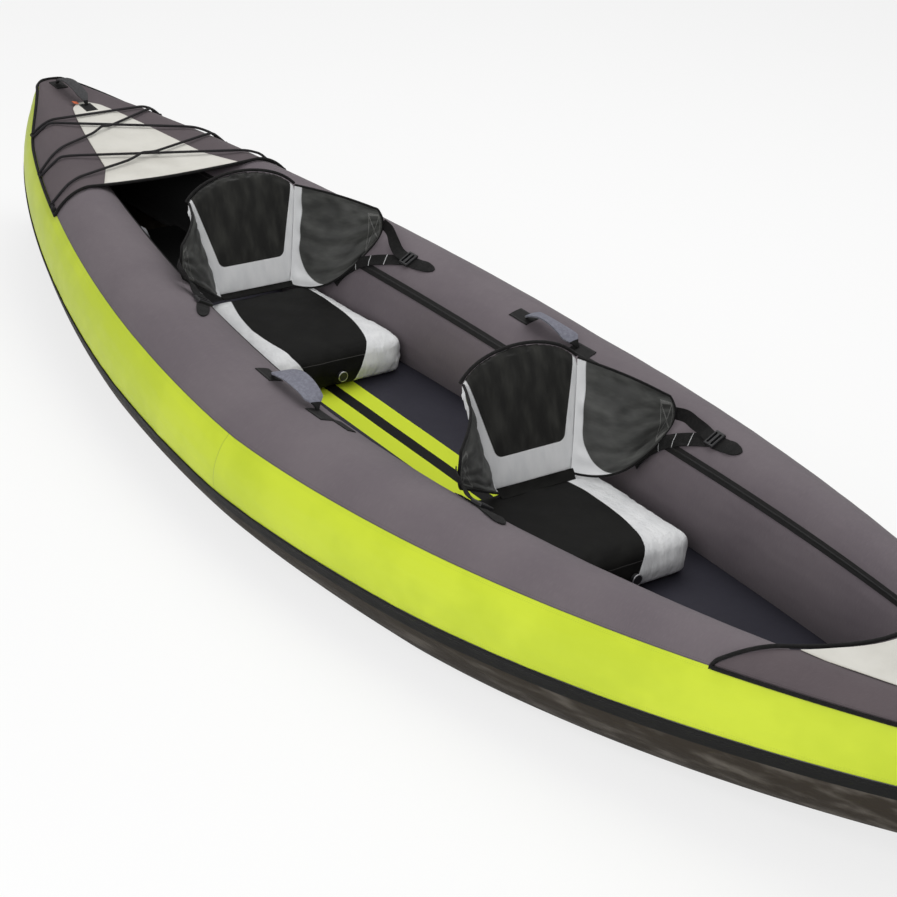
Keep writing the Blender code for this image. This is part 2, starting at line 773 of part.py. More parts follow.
def build_deck_cord():
    cord_mesh("deck_cord", deck_cord_points(), CORD_RADIUS, "cord_cover", rings=2)


# Handles

def handle_grip(name, pivot_start, pivot_end, up, material):
    """A folded webbing grip, arched between two ends that turn on the line through them."""
    along = pivot_end - pivot_start
    length = along.length
    ahead = along.normalized()
    across = up.cross(ahead).normalized()
    rise = ahead.cross(across)
    upper, lower = [], []
    steps = 14
    for i in range(steps + 1):
        t = 0.5 - 0.5 * math.cos(math.pi * i / steps)
        share = math.sin(math.pi * t)
        height = HANDLE_ARCH * share ** 0.6
        width = HANDLE_END_WIDTH + (HANDLE_WIDTH - HANDLE_END_WIDTH) * min(1.0, share * 1.6) ** 1.5
        thick = HANDLE_THICKNESS if 0 < i < steps else 2 * HANDLE_KNUCKLE
        cup = 0.0025 * share
        row_top, row_low = [], []
        for c in (-1.0, -0.55, 0.0, 0.55, 1.0):
            drop = cup * c * c
            base = ahead * (t * length) + across * (c * width / 2) + rise * (height - drop)
            half = thick / 2 * (1.0 if abs(c) < 1 else 0.35)
            row_top.append(base + rise * half)
            row_low.append(base - rise * half)
        upper.append(row_top)
        lower.append(row_low)
    grip = closed_sheet(name, upper, lower, material, 60.0)
    grip.location = pivot_start
    return grip


def side_patch(name, side, x_range, angle_range, extra=None):
    """A sewn patch that lies on a tube's top cover."""
    rows_up, rows_low = [], []
    places = spread(x_range[0], x_range[1], 3)
    if extra:
        places = spread(x_range[0], x_range[1], 3) + [x_range[1] + 0.004] + spread(extra[0], extra[1], 2)
    for x in places:
        low, high = angle_range
        if extra and x > x_range[1] + 0.002:
            low, high = extra[2]
            if x < extra[0]:
                low, high = angle_range[0] + 2.0, angle_range[1] + 1.0
        angles = spread(low, high, 3)
        rows_up.append([tube_point(x, side, a, PATCH_LIFT + PATCH_THICKNESS) for a in angles])
        rows_low.append([tube_point(x, side, a, PATCH_LIFT) for a in angles])
    closed_sheet(name, rows_up, rows_low, "black_webbing")


def build_side_handles():
    half_angle = math.degrees(SIDE_PATCH_WIDTH / 2 / section(0.0)[1])
    angles = (SIDE_HANDLE_ANGLE - half_angle, SIDE_HANDLE_ANGLE + half_angle)
    for side, word in ((1, "port"), (-1, "starboard")):
        lift = PATCH_LIFT + PATCH_THICKNESS + GAP + HANDLE_KNUCKLE
        start = tube_point(SIDE_HANDLE[0], side, SIDE_HANDLE_ANGLE, lift)
        end = tube_point(SIDE_HANDLE[1], side, SIDE_HANDLE_ANGLE, lift)
        normal = tube_point(-0.02, side, SIDE_HANDLE_ANGLE, 1.0) - tube_point(-0.02, side, SIDE_HANDLE_ANGLE, 0.0)
        handle_grip(word + "_handle", start, end, normal.normalized(), "grey_webbing")
        aft = (SIDE_HANDLE[0] - SIDE_PATCH_LENGTH + 0.016, SIDE_HANDLE[0] + 0.016)
        fore = (SIDE_HANDLE[1] - 0.016, SIDE_HANDLE[1] + SIDE_PATCH_LENGTH - 0.016)
        side_patch(word + "_handle_patch_aft", side, aft, angles)
        side_patch(word + "_handle_patch_fore", side, fore, angles, (TONGUE[0], TONGUE[1], TONGUE_ANGLES))


def end_patch(name, sign, x_range, on_panel):
    base = PANEL_LIFT + WALL if on_panel else 0.0
    upper, lower = [], []
    for x in spread(x_range[0], x_range[1], 4):
        half = END_PATCH_WIDTH / 2
        if not on_panel:
            half = min(half, crown_line(sign * x)[0] + 0.010)
        ys = [half * c for c in (1.0, 0.34, -0.34, -1.0)]
        lift = base + PATCH_LIFT
        upper.append([Vector((sign * x, y, deck_height(sign * x, y, lift + PATCH_THICKNESS))) for y in ys])
        lower.append([Vector((sign * x, y, deck_height(sign * x, y, lift))) for y in ys])
    closed_sheet(name, upper, lower, "black_webbing")


def build_end_handles():
    for sign, word in ((-1, "stern"), (1, "bow")):
        tip, inner = END_HANDLE
        patch_top = PATCH_LIFT + PATCH_THICKNESS + GAP + HANDLE_KNUCKLE
        ends = []
        for x, on_panel in ((tip, False), (inner, True)):
            base = PANEL_LIFT + WALL if on_panel else 0.0
            ends.append(Vector((sign * x, 0.0, deck_height(sign * x, 0.0, base + patch_top))))
        handle_grip(word + "_handle", ends[0], ends[1], Vector((0, 0, 1)), "grey_webbing")
        end_patch(word + "_handle_patch_tip", sign, (tip - 0.028, tip + 0.014), False)
        end_patch(word + "_handle_patch_deck", sign, (inner - 0.030, inner + 0.012), True)


# Valves

def place(obj, origin, normal, x_axis):
    """Sets an object on a surface: its z along the normal, its x near the given axis."""
    z = normal.normalized()
    x = (x_axis - z * x_axis.dot(z)).normalized()
    y = z.cross(x)
    matrix = Matrix((x, y, z)).transposed().to_4x4()
    matrix.translation = origin
    obj.matrix_world = matrix
    return obj


def valve_with_lid(name, lid_name, origin, normal, x_axis):
    valve = disc(name, VALVE_RADIUS, VALVE_HEIGHT, "valve_plastic", 28)
    place(valve, origin, normal, x_axis)
    lid = disc(lid_name, LID_RADIUS, LID_THICKNESS, "valve_plastic", 24)
    for vertex in lid.data.vertices:
        vertex.co.x += LID_RADIUS
    z = normal.normalized()
    x = (x_axis - z * x_axis.dot(z)).normalized()
    place(lid, origin + z * (VALVE_HEIGHT + GAP) - x * LID_RADIUS, normal, x_axis)


def build_valves():
    x, angle = TUBE_VALVE
    for side, word in ((1, "port"), (-1, "starboard")):
        surface, normal, ahead = surface_frame(x, side, angle, 0.0006)
        valve_with_lid("valve_" + word, "valve_lid_" + word, surface, normal, ahead)
    base = Vector((FLOOR_VALVE_X, 0.0, sheet_height(FLOOR_VALVE_X) + 0.0006))
    slope = sheet_height(FLOOR_VALVE_X + 0.02) - sheet_height(FLOOR_VALVE_X - 0.02)
    valve_with_lid("floor_valve", "floor_valve_lid", base, Vector((-slope / 0.04, 0, 1)), Vector((1, 0, 0)))


def sheet_height(x):
    """Height of the floor cover, straight between its stations."""
    places = floor_stations()
    i = min(max(bisect_right(places, x) - 1, 0), len(places) - 2)
    t = (x - places[i]) / (places[i + 1] - places[i])
    return floor_top(places[i]) * (1 - t) + floor_top(places[i + 1]) * t


# Seats

def cushion_top(u, v):
    """Height of a cushion above its floor at grid place u, v, each from -1 to 1."""
    waist = 0.46 * CUSHION_HEIGHT
    swell = (1 - max(abs(u), abs(v)) ** 6) ** 0.5
    crown = 0.006 * (1 - u * u) * (1 - v * v)
    return waist + 0.003 + (CUSHION_HEIGHT - waist - 0.009) * swell + crown


def cushion_place(u, v):
    """Grid place to plan: crowds the outer rows and rounds the four corners."""
    x = math.copysign(abs(u) ** CUSHION_CROWDING, u)
    y = math.copysign(abs(v) ** CUSHION_CROWDING, v)
    corner = 1 - 0.10 * min(abs(x), abs(y)) ** 6 * max(abs(x), abs(y)) ** 6
    return x * corner, y * corner


def build_cushion(word, middle_x):
    """Air cushion: domed top and bottom round a drawn-in seam at its waist."""
    waist = 0.46 * CUSHION_HEIGHT
    upper, lower = [], []
    for u in spread(-1.0, 1.0, 10):
        row_up, row_low = [], []
        for v in spread(-1.0, 1.0, 10):
            x, y = cushion_place(u, v)
            px, py = middle_x + x * CUSHION_LENGTH / 2, y * CUSHION_WIDTH / 2
            base = sheet_height(px) + GAP + 0.0004
            swell = (1 - max(abs(u), abs(v)) ** 6) ** 0.5
            row_up.append(Vector((px, py, base + cushion_top(u, v))))
            row_low.append(Vector((px, py, base + (waist - 0.003) * (1 - swell))))
        upper.append(row_up)
        lower.append(row_low)
    return closed_sheet(word + "_cushion", upper, lower, "seat_black", 60.0)


def hinge_point(hinge_x, middle_x):
    """Where a backrest is sewn to its cushion: just above the cushion's top."""
    share = (hinge_x - middle_x) / (CUSHION_LENGTH / 2)
    u = math.copysign(abs(share) ** (1 / CUSHION_CROWDING), share)
    top = sheet_height(hinge_x) + GAP + 0.0004 + cushion_top(u, 0.0)
    return Vector((hinge_x, 0.0, top + BACK_EDGE / 2 + GAP))


def back_half_width(v):
    share = v / BACK_HEIGHT
    return BACK_BOTTOM_HALF + (BACK_TOP_HALF - BACK_BOTTOM_HALF) * min(1.0, share / 0.82) ** 0.9


def build_back_panel(word, hinge):
    """Padded board with a bound edge and an arched top, in its own frame at the hinge."""
    upper, lower = [], []
    rows, columns = 12, 8
    for i in range(rows + 1):
        share = i / rows
        row_front, row_back = [], []
        for j in range(columns + 1):
            c = -1 + 2 * j / columns
            top = BACK_HEIGHT - CROWN_DROP * c * c - 0.012 * c ** 6
            v = top * share
            half = back_half_width(v)
            if share > 0.9:
                half -= 0.010 * (share - 0.9) / 0.1
            edge = max(abs(c), abs(2 * share - 1))
            pad = BACK_EDGE / 2 + (BACK_THICKNESS - BACK_EDGE) / 2 * (1 - edge ** 5)
            row_front.append(Vector((pad, c * half, v)))
            row_back.append(Vector((-pad, c * half, v)))
        upper.append(row_front)
        lower.append(row_back)
    panel = closed_sheet(word + "_back_panel", upper, lower, "seat_black", 60.0)
    panel.location = hinge
    panel.rotation_euler = (0.0, -math.radians(RECLINE), 0.0)
    return panel


def lean(point):
    """A point of the reclined backrest's frame, turned about the hinge."""
    return Matrix.Rotation(-math.radians(RECLINE), 3, "Y") @ Vector(point)


def build_wing(word, side, side_word, hinge, tip):
    """Side wing: from the panel's edge outward and forward to the strap at its tip."""
    tip = Vector((tip[0], side * tip[1], tip[2]))
    flare = Vector((WING_FLARE[0], side * WING_FLARE[1], WING_FLARE[2]))
    upper, lower = [], []
    rows, columns = 8, 6
    for i in range(rows + 1):
        t = i / rows
        row_front, row_back = [], []
        for j in range(columns + 1):
            s = j / columns
            v = 0.020 + 0.178 * s
            inner = lean((0.0, side * (back_half_width(v) + 0.0018), v))
            strap = tip + Vector((0, 0, 0.040 * (s - 0.5)))
            point = wing_point(inner, strap, t, s, flare, side)
            row_front.append(point)
            row_back.append(point.copy())
        upper.append(row_front)
        lower.append(row_back)
    thicken(upper, lower, WING_THICKNESS, side)
    wing = closed_sheet(word + "_wing_" + side_word, upper, lower, "seat_charcoal", 60.0)
    wing.location = hinge


def wing_point(inner, strap, t, s, flare, side):
    """Straight from the panel to the strap, with the lower edge pulled forward into the flare."""
    point = inner.lerp(strap, t)
    pull = (1 - s) ** 2 * math.sin(math.pi * t) ** 0.9
    foot = Vector((flare.x, flare.y, flare.z + 0.012)) - inner.lerp(strap, 0.5)
    bulge = Vector((0.016 * math.sin(math.pi * t), -side * 0.006 * math.sin(math.pi * t), 0.0))
    return point + foot * pull * 0.85 + bulge


def thicken(upper, lower, thickness, side):
    """Moves two equal grids apart along the surface's own direction."""
    rows, columns = len(upper), len(upper[0])
    shifts = []
    for i in range(rows):
        line = []
        for j in range(columns):
            a = upper[min(i + 1, rows - 1)][j] - upper[max(i - 1, 0)][j]
            b = upper[i][min(j + 1, columns - 1)] - upper[i][max(j - 1, 0)]
            normal = b.cross(a).normalized() * side
            thin = 0.45 if i in (0, rows - 1) or j in (0, columns - 1) else 1.0
            line.append(normal * thickness / 2 * thin)
        shifts.append(line)
    for i in range(rows):
        for j in range(columns):
            upper[i][j] = upper[i][j] + shifts[i][j]
            lower[i][j] = lower[i][j] - shifts[i][j]


def strap_lift(angle, base):
    """Height of the anchor strap above the covers: it steps over the zip strip."""
    away = abs(angle - ZIP_ANGLE)
    if away < 7.0:
        return 0.0022
    if away < 10.0:
        return base + (0.0022 - base) * (10.0 - away) / 3.0
    return base


def anchor_path(buckle_x, buckle_angle):
    """Centre line of the webbing over the tube, as places along x and angles."""
    start = (buckle_x - ANCHOR_BACK, ANCHOR_LOW_ANGLE)
    end = (buckle_x + ANCHOR_FRONT, buckle_angle - 4.0)
    line = []
    for i in range(19):
        t = i / 18
        if t < 0.72:
            share = t / 0.72
            x = start[0] + (buckle_x - start[0]) * (0.35 * share + 0.65 * share * share)
            angle = start[1] + (buckle_angle + 1.0 - start[1]) * (1.15 * share - 0.15 * share * share)
        else:
            share = (t - 0.72) / 0.28
            x = buckle_x + (end[0] - buckle_x) * share
            angle = buckle_angle + 1.0 + (end[1] - buckle_angle - 1.0) * share
        line.append((x, angle))
    return line


def build_anchor_strap(word, side, side_word, buckle_x, buckle_angle):
    """Flat webbing sewn over the tube; its forward end is a round tab."""
    line = anchor_path(buckle_x, buckle_angle)
    radius = section(buckle_x)[1]
    upper, lower = [], []
    for i, (x, angle) in enumerate(line):
        before, after = line[max(0, i - 1)], line[min(len(line) - 1, i + 1)]
        dx = after[0] - before[0]
        da = math.radians(after[1] - before[1]) * radius
        length = math.hypot(dx, da)
        cross_x, cross_a = -da / length, dx / length
        left = len(line) - 1 - i
        half = STRAP_WIDTH / 2 * (1.12 if left < 5 else 1.0)
        if left < 3:
            half *= (0.30, 0.72, 0.95)[left]
        row_up, row_low = [], []
        for c in (-1.0, -0.33, 0.33, 1.0):
            place_x = x + cross_x * half * c
            place_a = angle + math.degrees(cross_a * half * c / radius)
            lift = strap_lift(place_a, 0.0008)
            row_up.append(tube_point(place_x, side, place_a, lift + STRAP_THICKNESS))
            row_low.append(tube_point(place_x, side, place_a, lift))
        upper.append(row_up)
        lower.append(row_low)
    closed_sheet(word + "_anchor_strap_" + side_word, upper, lower, "black_webbing")


def surface_frame(x, side, angle, lift):
    """A place on a tube with its outward direction and its forward direction."""
    origin = tube_point(x, side, angle, lift)
    ahead = (tube_point(x + 0.03, side, angle, lift) - tube_point(x - 0.03, side, angle, lift)).normalized()
    around = tube_point(x, side, angle + 4.0, lift) - tube_point(x, side, angle - 4.0, lift)
    normal = around.cross(ahead).normalized() * side
    return origin, normal, ahead


def build_buckle(word, side, side_word, buckle_x, buckle_angle):
    """Ladder buckle: a flat frame with one bar between two slots."""
    length, width, height = BUCKLE_SIZE
    mesh_data = bmesh.new()
    bmesh.ops.create_cube(mesh_data, size=1.0)
    bmesh.ops.scale(mesh_data, verts=mesh_data.verts, vec=(length, width, height))
    bmesh.ops.bevel(mesh_data, geom=mesh_data.edges[:], offset=0.0012, segments=1, affect="EDGES")
    buckle = finish(mesh_data, word + "_buckle_" + side_word, "valve_plastic")
    slots = []
    for shift in (-0.0058, 0.0058):
        slot_data = bmesh.new()
        bmesh.ops.create_cube(slot_data, size=1.0)
        bmesh.ops.scale(slot_data, verts=slot_data.verts, vec=(0.0058, STRAP_WIDTH + 0.002, height * 2))
        bmesh.ops.translate(slot_data, verts=slot_data.verts, vec=(shift, 0.0, 0.0))
        slots.append(finish(slot_data, "slot", "valve_plastic"))
    cut_solids(buckle, slots)
    origin, normal, ahead = surface_frame(buckle_x, side, buckle_angle, 0.0008 + STRAP_THICKNESS + 0.0009 + height / 2)
    place(buckle, origin, normal, ahead)


def cut_solids(base, cutters):
    for cutter in cutters:
        cut = base.modifiers.new("cut", "BOOLEAN")
        cut.operation = "DIFFERENCE"
        cut.solver = "EXACT"
        cut.object = cutter
        cutter.hide_render = True
        cutter.display_type = "WIRE"
    bpy.context.view_layer.update()
    shaped = bpy.data.meshes.new_from_object(base.evaluated_get(bpy.context.evaluated_depsgraph_get()))
    base.modifiers.clear()
    material = base.data.materials[0]
    base.data = shaped
    shaped.materials.clear()
    shaped.materials.append(material)
    for face in shaped.polygons:
        face.material_index = 0
    for cutter in cutters:
        bpy.data.objects.remove(cutter, do_unlink=True)


def build_upper_strap(word, side, side_word, hinge, tip, buckle_x, buckle_angle):
    """Strap from the wing's tip down to the buckle."""
    start = hinge + Vector((tip[0] + 0.0045, side * (tip[1] + 0.0050), tip[2]))
    lift = 0.0008 + STRAP_THICKNESS + 0.0009 + BUCKLE_SIZE[2] / 2
    end_x = buckle_x - BUCKLE_SIZE[0] / 2 - 0.0020
    end, normal, ahead = surface_frame(end_x, side, buckle_angle, lift)
    near = surface_frame(end_x - 0.022, side, buckle_angle - 1.0, lift + 0.0035)[0]
    first = (near - start)
    path = smooth_path([start, start + first * 0.34 + Vector((0.0, side * 0.004, 0.004)),
                        start + first * 0.70 + Vector((0, 0, 0.003)), near, end], (2, 2, 2, 2))
    start_across = Vector((0.0, 0.0, 1.0))
    end_across = normal.cross(ahead)
    if end_across.dot(start_across) < 0:
        end_across = -end_across
    upper, lower = [], []
    for i, p in enumerate(path):
        t = i / (len(path) - 1)
        tangent = (path[min(i + 1, len(path) - 1)] - path[max(i - 1, 0)]).normalized()
        across = start_across.lerp(end_across, min(1.0, t * 1.15))
        across = (across - tangent * across.dot(tangent)).normalized()
        out = tangent.cross(across).normalized()
        upper.append([p + across * (c * STRAP_WIDTH / 2) + out * STRAP_THICKNESS / 2 for c in (-1, 0, 1)])
        lower.append([p + across * (c * STRAP_WIDTH / 2) - out * STRAP_THICKNESS / 2 for c in (-1, 0, 1)])
    strap = closed_sheet(word + "_upper_strap_" + side_word, [[q - hinge for q in row] for row in upper],
                         [[q - hinge for q in row] for row in lower], "black_webbing")
    strap.location = hinge


def build_seats():
    for word, hinge_x, cushion_x, tip, buckle_x, buckle_angle in SEATS:
        hinge = hinge_point(hinge_x, cushion_x)
        cushion = build_cushion(word, cushion_x)
        valve = disc(word + "_valve_stub", CUSHION_VALVE_RADIUS, CUSHION_VALVE_ROOT + CUSHION_VALVE_STAND,
                     "valve_plastic", 20)
        front = cushion_x + CUSHION_LENGTH / 2
        height = sheet_height(front) + 0.46 * CUSHION_HEIGHT
        place(valve, Vector((front - CUSHION_VALVE_ROOT, 0.0, height)), Vector((1, 0, 0)), Vector((0, 1, 0)))
        join_solids(cushion, [valve])
        build_back_panel(word, hinge)
        for side, side_word in ((1, "port"), (-1, "starboard")):
            build_wing(word, side, side_word, hinge, tip)
            build_upper_strap(word, side, side_word, hinge, tip, buckle_x, buckle_angle)
            build_anchor_strap(word, side, side_word, buckle_x, buckle_angle)
            build_buckle(word, side, side_word, buckle_x, buckle_angle)


def main():
    clear_file()
    make_materials()
    build_skins()
    build_bottom()
    build_bladders()
    build_floor()
    build_zips()
    build_decks()
    build_deck_cord()
    build_side_handles()
    build_end_handles()
    build_valves()
    build_seats()


main()
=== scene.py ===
import json
import math

import bmesh
import bpy
from mathutils import Matrix, Vector, noise


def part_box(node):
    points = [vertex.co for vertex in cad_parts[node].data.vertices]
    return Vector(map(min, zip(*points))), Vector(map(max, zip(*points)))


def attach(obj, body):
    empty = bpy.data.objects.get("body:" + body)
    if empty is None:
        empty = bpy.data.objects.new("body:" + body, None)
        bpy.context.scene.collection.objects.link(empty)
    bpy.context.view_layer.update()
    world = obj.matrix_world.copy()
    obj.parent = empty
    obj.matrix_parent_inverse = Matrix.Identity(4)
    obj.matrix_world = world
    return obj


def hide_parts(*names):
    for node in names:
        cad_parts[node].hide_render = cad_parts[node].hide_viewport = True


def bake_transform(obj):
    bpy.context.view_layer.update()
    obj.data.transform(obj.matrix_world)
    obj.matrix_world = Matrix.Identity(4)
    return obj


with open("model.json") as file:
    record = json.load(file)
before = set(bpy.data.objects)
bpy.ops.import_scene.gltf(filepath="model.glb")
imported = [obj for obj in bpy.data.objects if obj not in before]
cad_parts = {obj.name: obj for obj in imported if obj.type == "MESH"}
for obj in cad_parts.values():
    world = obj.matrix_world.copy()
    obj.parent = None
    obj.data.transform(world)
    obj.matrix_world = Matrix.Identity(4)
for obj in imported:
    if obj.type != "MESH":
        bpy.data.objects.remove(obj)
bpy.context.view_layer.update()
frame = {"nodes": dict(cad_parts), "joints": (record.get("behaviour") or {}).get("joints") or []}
print("frame loaded")


# Camera and light

cameraPlace = dict(spot=(3.18145, -2.41982, 2.12605), yaw=142.144, pitch=-26.942, roll=4.719, lens=90.75)
light = dict(skyStrength=0.42, skyColour=(1.0, 1.0, 1.0), topPower=80.0, topSize=3.6,
             topSpot=(-0.8, 0.9, 3.6), sidePower=95.0, sideSize=2.6, sideSpot=(2.6, -3.4, 2.6),
             floorShade=0.90, floorGlow=0.75)


def setCamera():
    yaw, pitch, roll = (math.radians(cameraPlace[k]) for k in ("yaw", "pitch", "roll"))
    ahead = Vector((math.cos(yaw) * math.cos(pitch), math.sin(yaw) * math.cos(pitch), math.sin(pitch)))
    level = ahead.cross(Vector((0, 0, 1))).normalized()
    above = level.cross(ahead)
    right = level * math.cos(roll) + above * math.sin(roll)
    up = above * math.cos(roll) - level * math.sin(roll)
    turn = Matrix((right, up, -ahead)).transposed().to_4x4()
    turn.translation = cameraPlace["spot"]
    data = bpy.data.cameras.new("camera")
    data.lens = cameraPlace["lens"]
    camera = bpy.data.objects.new("camera", data)
    bpy.context.collection.objects.link(camera)
    camera.matrix_world = turn
    bpy.context.scene.camera = camera


def addLamp(name, spot, size, power):
    bpy.ops.object.light_add(type="AREA", location=spot)
    lamp = bpy.context.object
    lamp.name = name
    lamp.data.size = size
    lamp.data.energy = power
    lamp.rotation_euler = (Vector((0, 0, 0.15)) - Vector(spot)).to_track_quat("-Z", "Y").to_euler()


def setStage():
    scene = bpy.context.scene
    scene.view_settings.view_transform = "Standard"
    world = bpy.data.worlds.new("studio")
    scene.world = world
    world.use_nodes = True
    sky = world.node_tree.nodes["Background"]
    sky.inputs["Color"].default_value = (*light["skyColour"], 1.0)
    sky.inputs["Strength"].default_value = light["skyStrength"]
    addLamp("topLamp", light["topSpot"], light["topSize"], light["topPower"])
    addLamp("sideLamp", light["sideSpot"], light["sideSize"], light["sidePower"])
    bpy.ops.mesh.primitive_plane_add(size=40.0, location=(0, 0, -0.0005))
    ground = bpy.context.object
    ground.name = "studioFloor"
    bpy.ops.object.transform_apply(location=True)
    paper = Finish("studioPaper", {"Roughness": 0.85, "Specular IOR Level": 0.2})
    tone = paper.noise(paper.place(), 3.0, 2)
    shade = light["floorShade"]
    paper.colour(paper.mix(tone, (shade, shade, shade), (shade + 0.01, shade + 0.01, shade + 0.01)))
    glow = paper.node("ShaderNodeEmission", inputs={"Color": (1.0, 1.0, 1.0, 1.0), "Strength": 1.0})
    seen = paper.node("ShaderNodeLightPath")
    lit = Wire(paper, paper.shader.outputs[0])
    both = paper.node("ShaderNodeMixShader", inputs=(seen * light["floorGlow"], lit, glow))
    paper.tree.links.new(both.socket, paper.tree.nodes["Material Output"].inputs["Surface"])
    ground.data.materials.append(paper.material)


# Shader arithmetic: a Wire is a socket that can be used in an expression

class Wire:
    def __init__(self, finish, socket):
        self.finish = finish
        self.socket = socket

    def calc(self, operation, *others):
        return self.finish.node("ShaderNodeMath", {"operation": operation}, (self,) + others)

    def __add__(self, other):
        return self.calc("ADD", other)

    __radd__ = __add__

    def __sub__(self, other):
        return self.calc("SUBTRACT", other)

    def __rsub__(self, other):
        return self.finish.node("ShaderNodeMath", {"operation": "SUBTRACT"}, (other, self))

    def __mul__(self, other):
        return self.calc("MULTIPLY", other)

    __rmul__ = __mul__

    def __truediv__(self, other):
        return self.calc("DIVIDE", other)

    def __pow__(self, other):
        return self.calc("POWER", other)

    def __abs__(self):
        return self.calc("ABSOLUTE")

    def over(self, edge):
        return self.calc("GREATER_THAN", edge)

    def under(self, edge):
        return self.calc("LESS_THAN", edge)

    def least(self, other):
        return self.calc("MINIMUM", other)

    def most(self, other):
        return self.calc("MAXIMUM", other)

    def sine(self):
        return self.calc("SINE")

    def part(self):
        return self.calc("FRACT")

    def rise(self, low, high):       # 0 below low, 1 above high, smooth between
        return self.finish.node("ShaderNodeMapRange", {"interpolation_type": "SMOOTHSTEP"},
                                {0: self, 1: low, 2: high, 3: 0.0, 4: 1.0})


class Finish:
    def __init__(self, name, fixed):
        self.material = bpy.data.materials.new(name)
        self.material.use_nodes = True
        self.tree = self.material.node_tree
        self.shader = self.tree.nodes["Principled BSDF"]
        self.lastBump = None
        for socket, value in fixed.items():
            self.shader.inputs[socket].default_value = value

    def node(self, kind, settings=None, inputs=(), output=0):
        made = self.tree.nodes.new(kind)
        for key, value in (settings or {}).items():
            setattr(made, key, value)
        pairs = inputs.items() if isinstance(inputs, dict) else enumerate(inputs)
        for key, value in pairs:
            if isinstance(value, Wire):
                self.tree.links.new(value.socket, made.inputs[key])
            else:
                made.inputs[key].default_value = value
        return Wire(self, made.outputs[output])

    def place(self):
        return self.node("ShaderNodeTexCoord", output=3)

    def axes(self, wire):
        x = self.node("ShaderNodeSeparateXYZ", inputs=(wire,))
        split = x.socket.node
        return x, Wire(self, split.outputs[1]), Wire(self, split.outputs[2])

    def cloth(self):        # the place in space, and the ways along and across the piece's UV map
        spot = self.place()
        u, v, _ = self.axes(self.node("ShaderNodeTexCoord", output=2))
        return spot, u, v

    def joinAxes(self, x, y):
        return self.node("ShaderNodeCombineXYZ", inputs=(x, y, 0.0))

    def noise(self, vector, scale, detail=3, stretch=None):
        if stretch:
            vector = self.node("ShaderNodeVectorMath", {"operation": "MULTIPLY"}, (vector, stretch))
        return self.node("ShaderNodeTexNoise",
                         inputs={"Vector": vector, "Scale": scale, "Detail": float(detail)})

    def mix(self, share, first, second):
        first, second = (c if isinstance(c, Wire) else (*c, 1.0) for c in (first, second))
        return self.node("ShaderNodeMix", {"data_type": "RGBA"}, {0: share, 6: first, 7: second}, 2)

    def weave(self, u, v, pitch):
        turn = 2 * math.pi / pitch
        return (u * turn).sine() * (v * turn).sine()

    def colour(self, wire):
        self.tree.links.new(wire.socket, self.shader.inputs["Base Color"])

    def roughness(self, wire):
        self.tree.links.new(wire.socket, self.shader.inputs["Roughness"])

    def bump(self, height, strength, distance):
        inputs = {"Strength": strength, "Distance": distance, "Height": height}
        if self.lastBump:
            inputs["Normal"] = self.lastBump
        self.lastBump = self.node("ShaderNodeBump", inputs=inputs)
        self.tree.links.new(self.lastBump.socket, self.shader.inputs["Normal"])


# Finishes

colours = dict(
    green=(0.615, 0.735, 0.034), greenDeep=(0.545, 0.665, 0.026),
    mauve=(0.150, 0.128, 0.140), mauveDeep=(0.128, 0.108, 0.121),
    deck=(0.105, 0.085, 0.092), deckDeep=(0.088, 0.071, 0.078),
    ivory=(0.70, 0.685, 0.63), ivoryDeep=(0.60, 0.585, 0.53),
    tarpaulin=(0.030, 0.023, 0.016), tarpaulinWornAndSheen=(0.120, 0.106, 0.090),
    black=(0.005, 0.005, 0.005), blackDusty=(0.014, 0.013, 0.013),
    navy=(0.030, 0.029, 0.040), navyDeep=(0.023, 0.022, 0.031),
    greyWebbing=(0.235, 0.240, 0.285), greyWebbingDeep=(0.170, 0.172, 0.212),
    pad=(0.0035, 0.0034, 0.0030), padDusty=(0.0075, 0.0074, 0.0066),
    backPanel=(0.010, 0.010, 0.009), backPanelLight=(0.034, 0.034, 0.030),
    wing=(0.032, 0.033, 0.031), wingLight=(0.078, 0.080, 0.075),
    white=(0.74, 0.745, 0.75), whiteDeep=(0.64, 0.65, 0.66),
    thread=(0.22, 0.22, 0.21), plastic=(0.012, 0.012, 0.013), valve=(0.16, 0.16, 0.17),
    ring=(0.62, 0.62, 0.62), ringDark=(0.48, 0.48, 0.50), film=(0.35, 0.35, 0.37),
    tag=(0.75, 0.16, 0.05), tagDeep=(0.62, 0.12, 0.04),
    greenThread=(0.33, 0.43, 0.03), greenSeam=(0.30, 0.40, 0.03), greenEdge=(0.36, 0.48, 0.03),
    ivoryEdge=(0.45, 0.42, 0.37), cord=(0.008, 0.008, 0.009), cordLight=(0.034, 0.031, 0.034),
    zipTooth=(0.030, 0.030, 0.032), patchThread=(0.07, 0.07, 0.07),
    endWebbing=(0.085, 0.085, 0.088), endWebbingDeep=(0.055, 0.055, 0.058),
    cushionSeam=(0.25, 0.25, 0.26), frontSeam=(0.075, 0.072, 0.070), backSeam=(0.10, 0.10, 0.10),
    wingSeam=(0.15, 0.15, 0.15),
)
sides = ((1, "port"), (-1, "starboard"))


def stitchMask(along, across, offset, spacing=0.0042, half=0.0006):
    row = abs(across - offset).under(half)
    return row * (along / spacing).part().under(0.62)


coatedSeam = -0.018      # where the green band is joined from two lengths


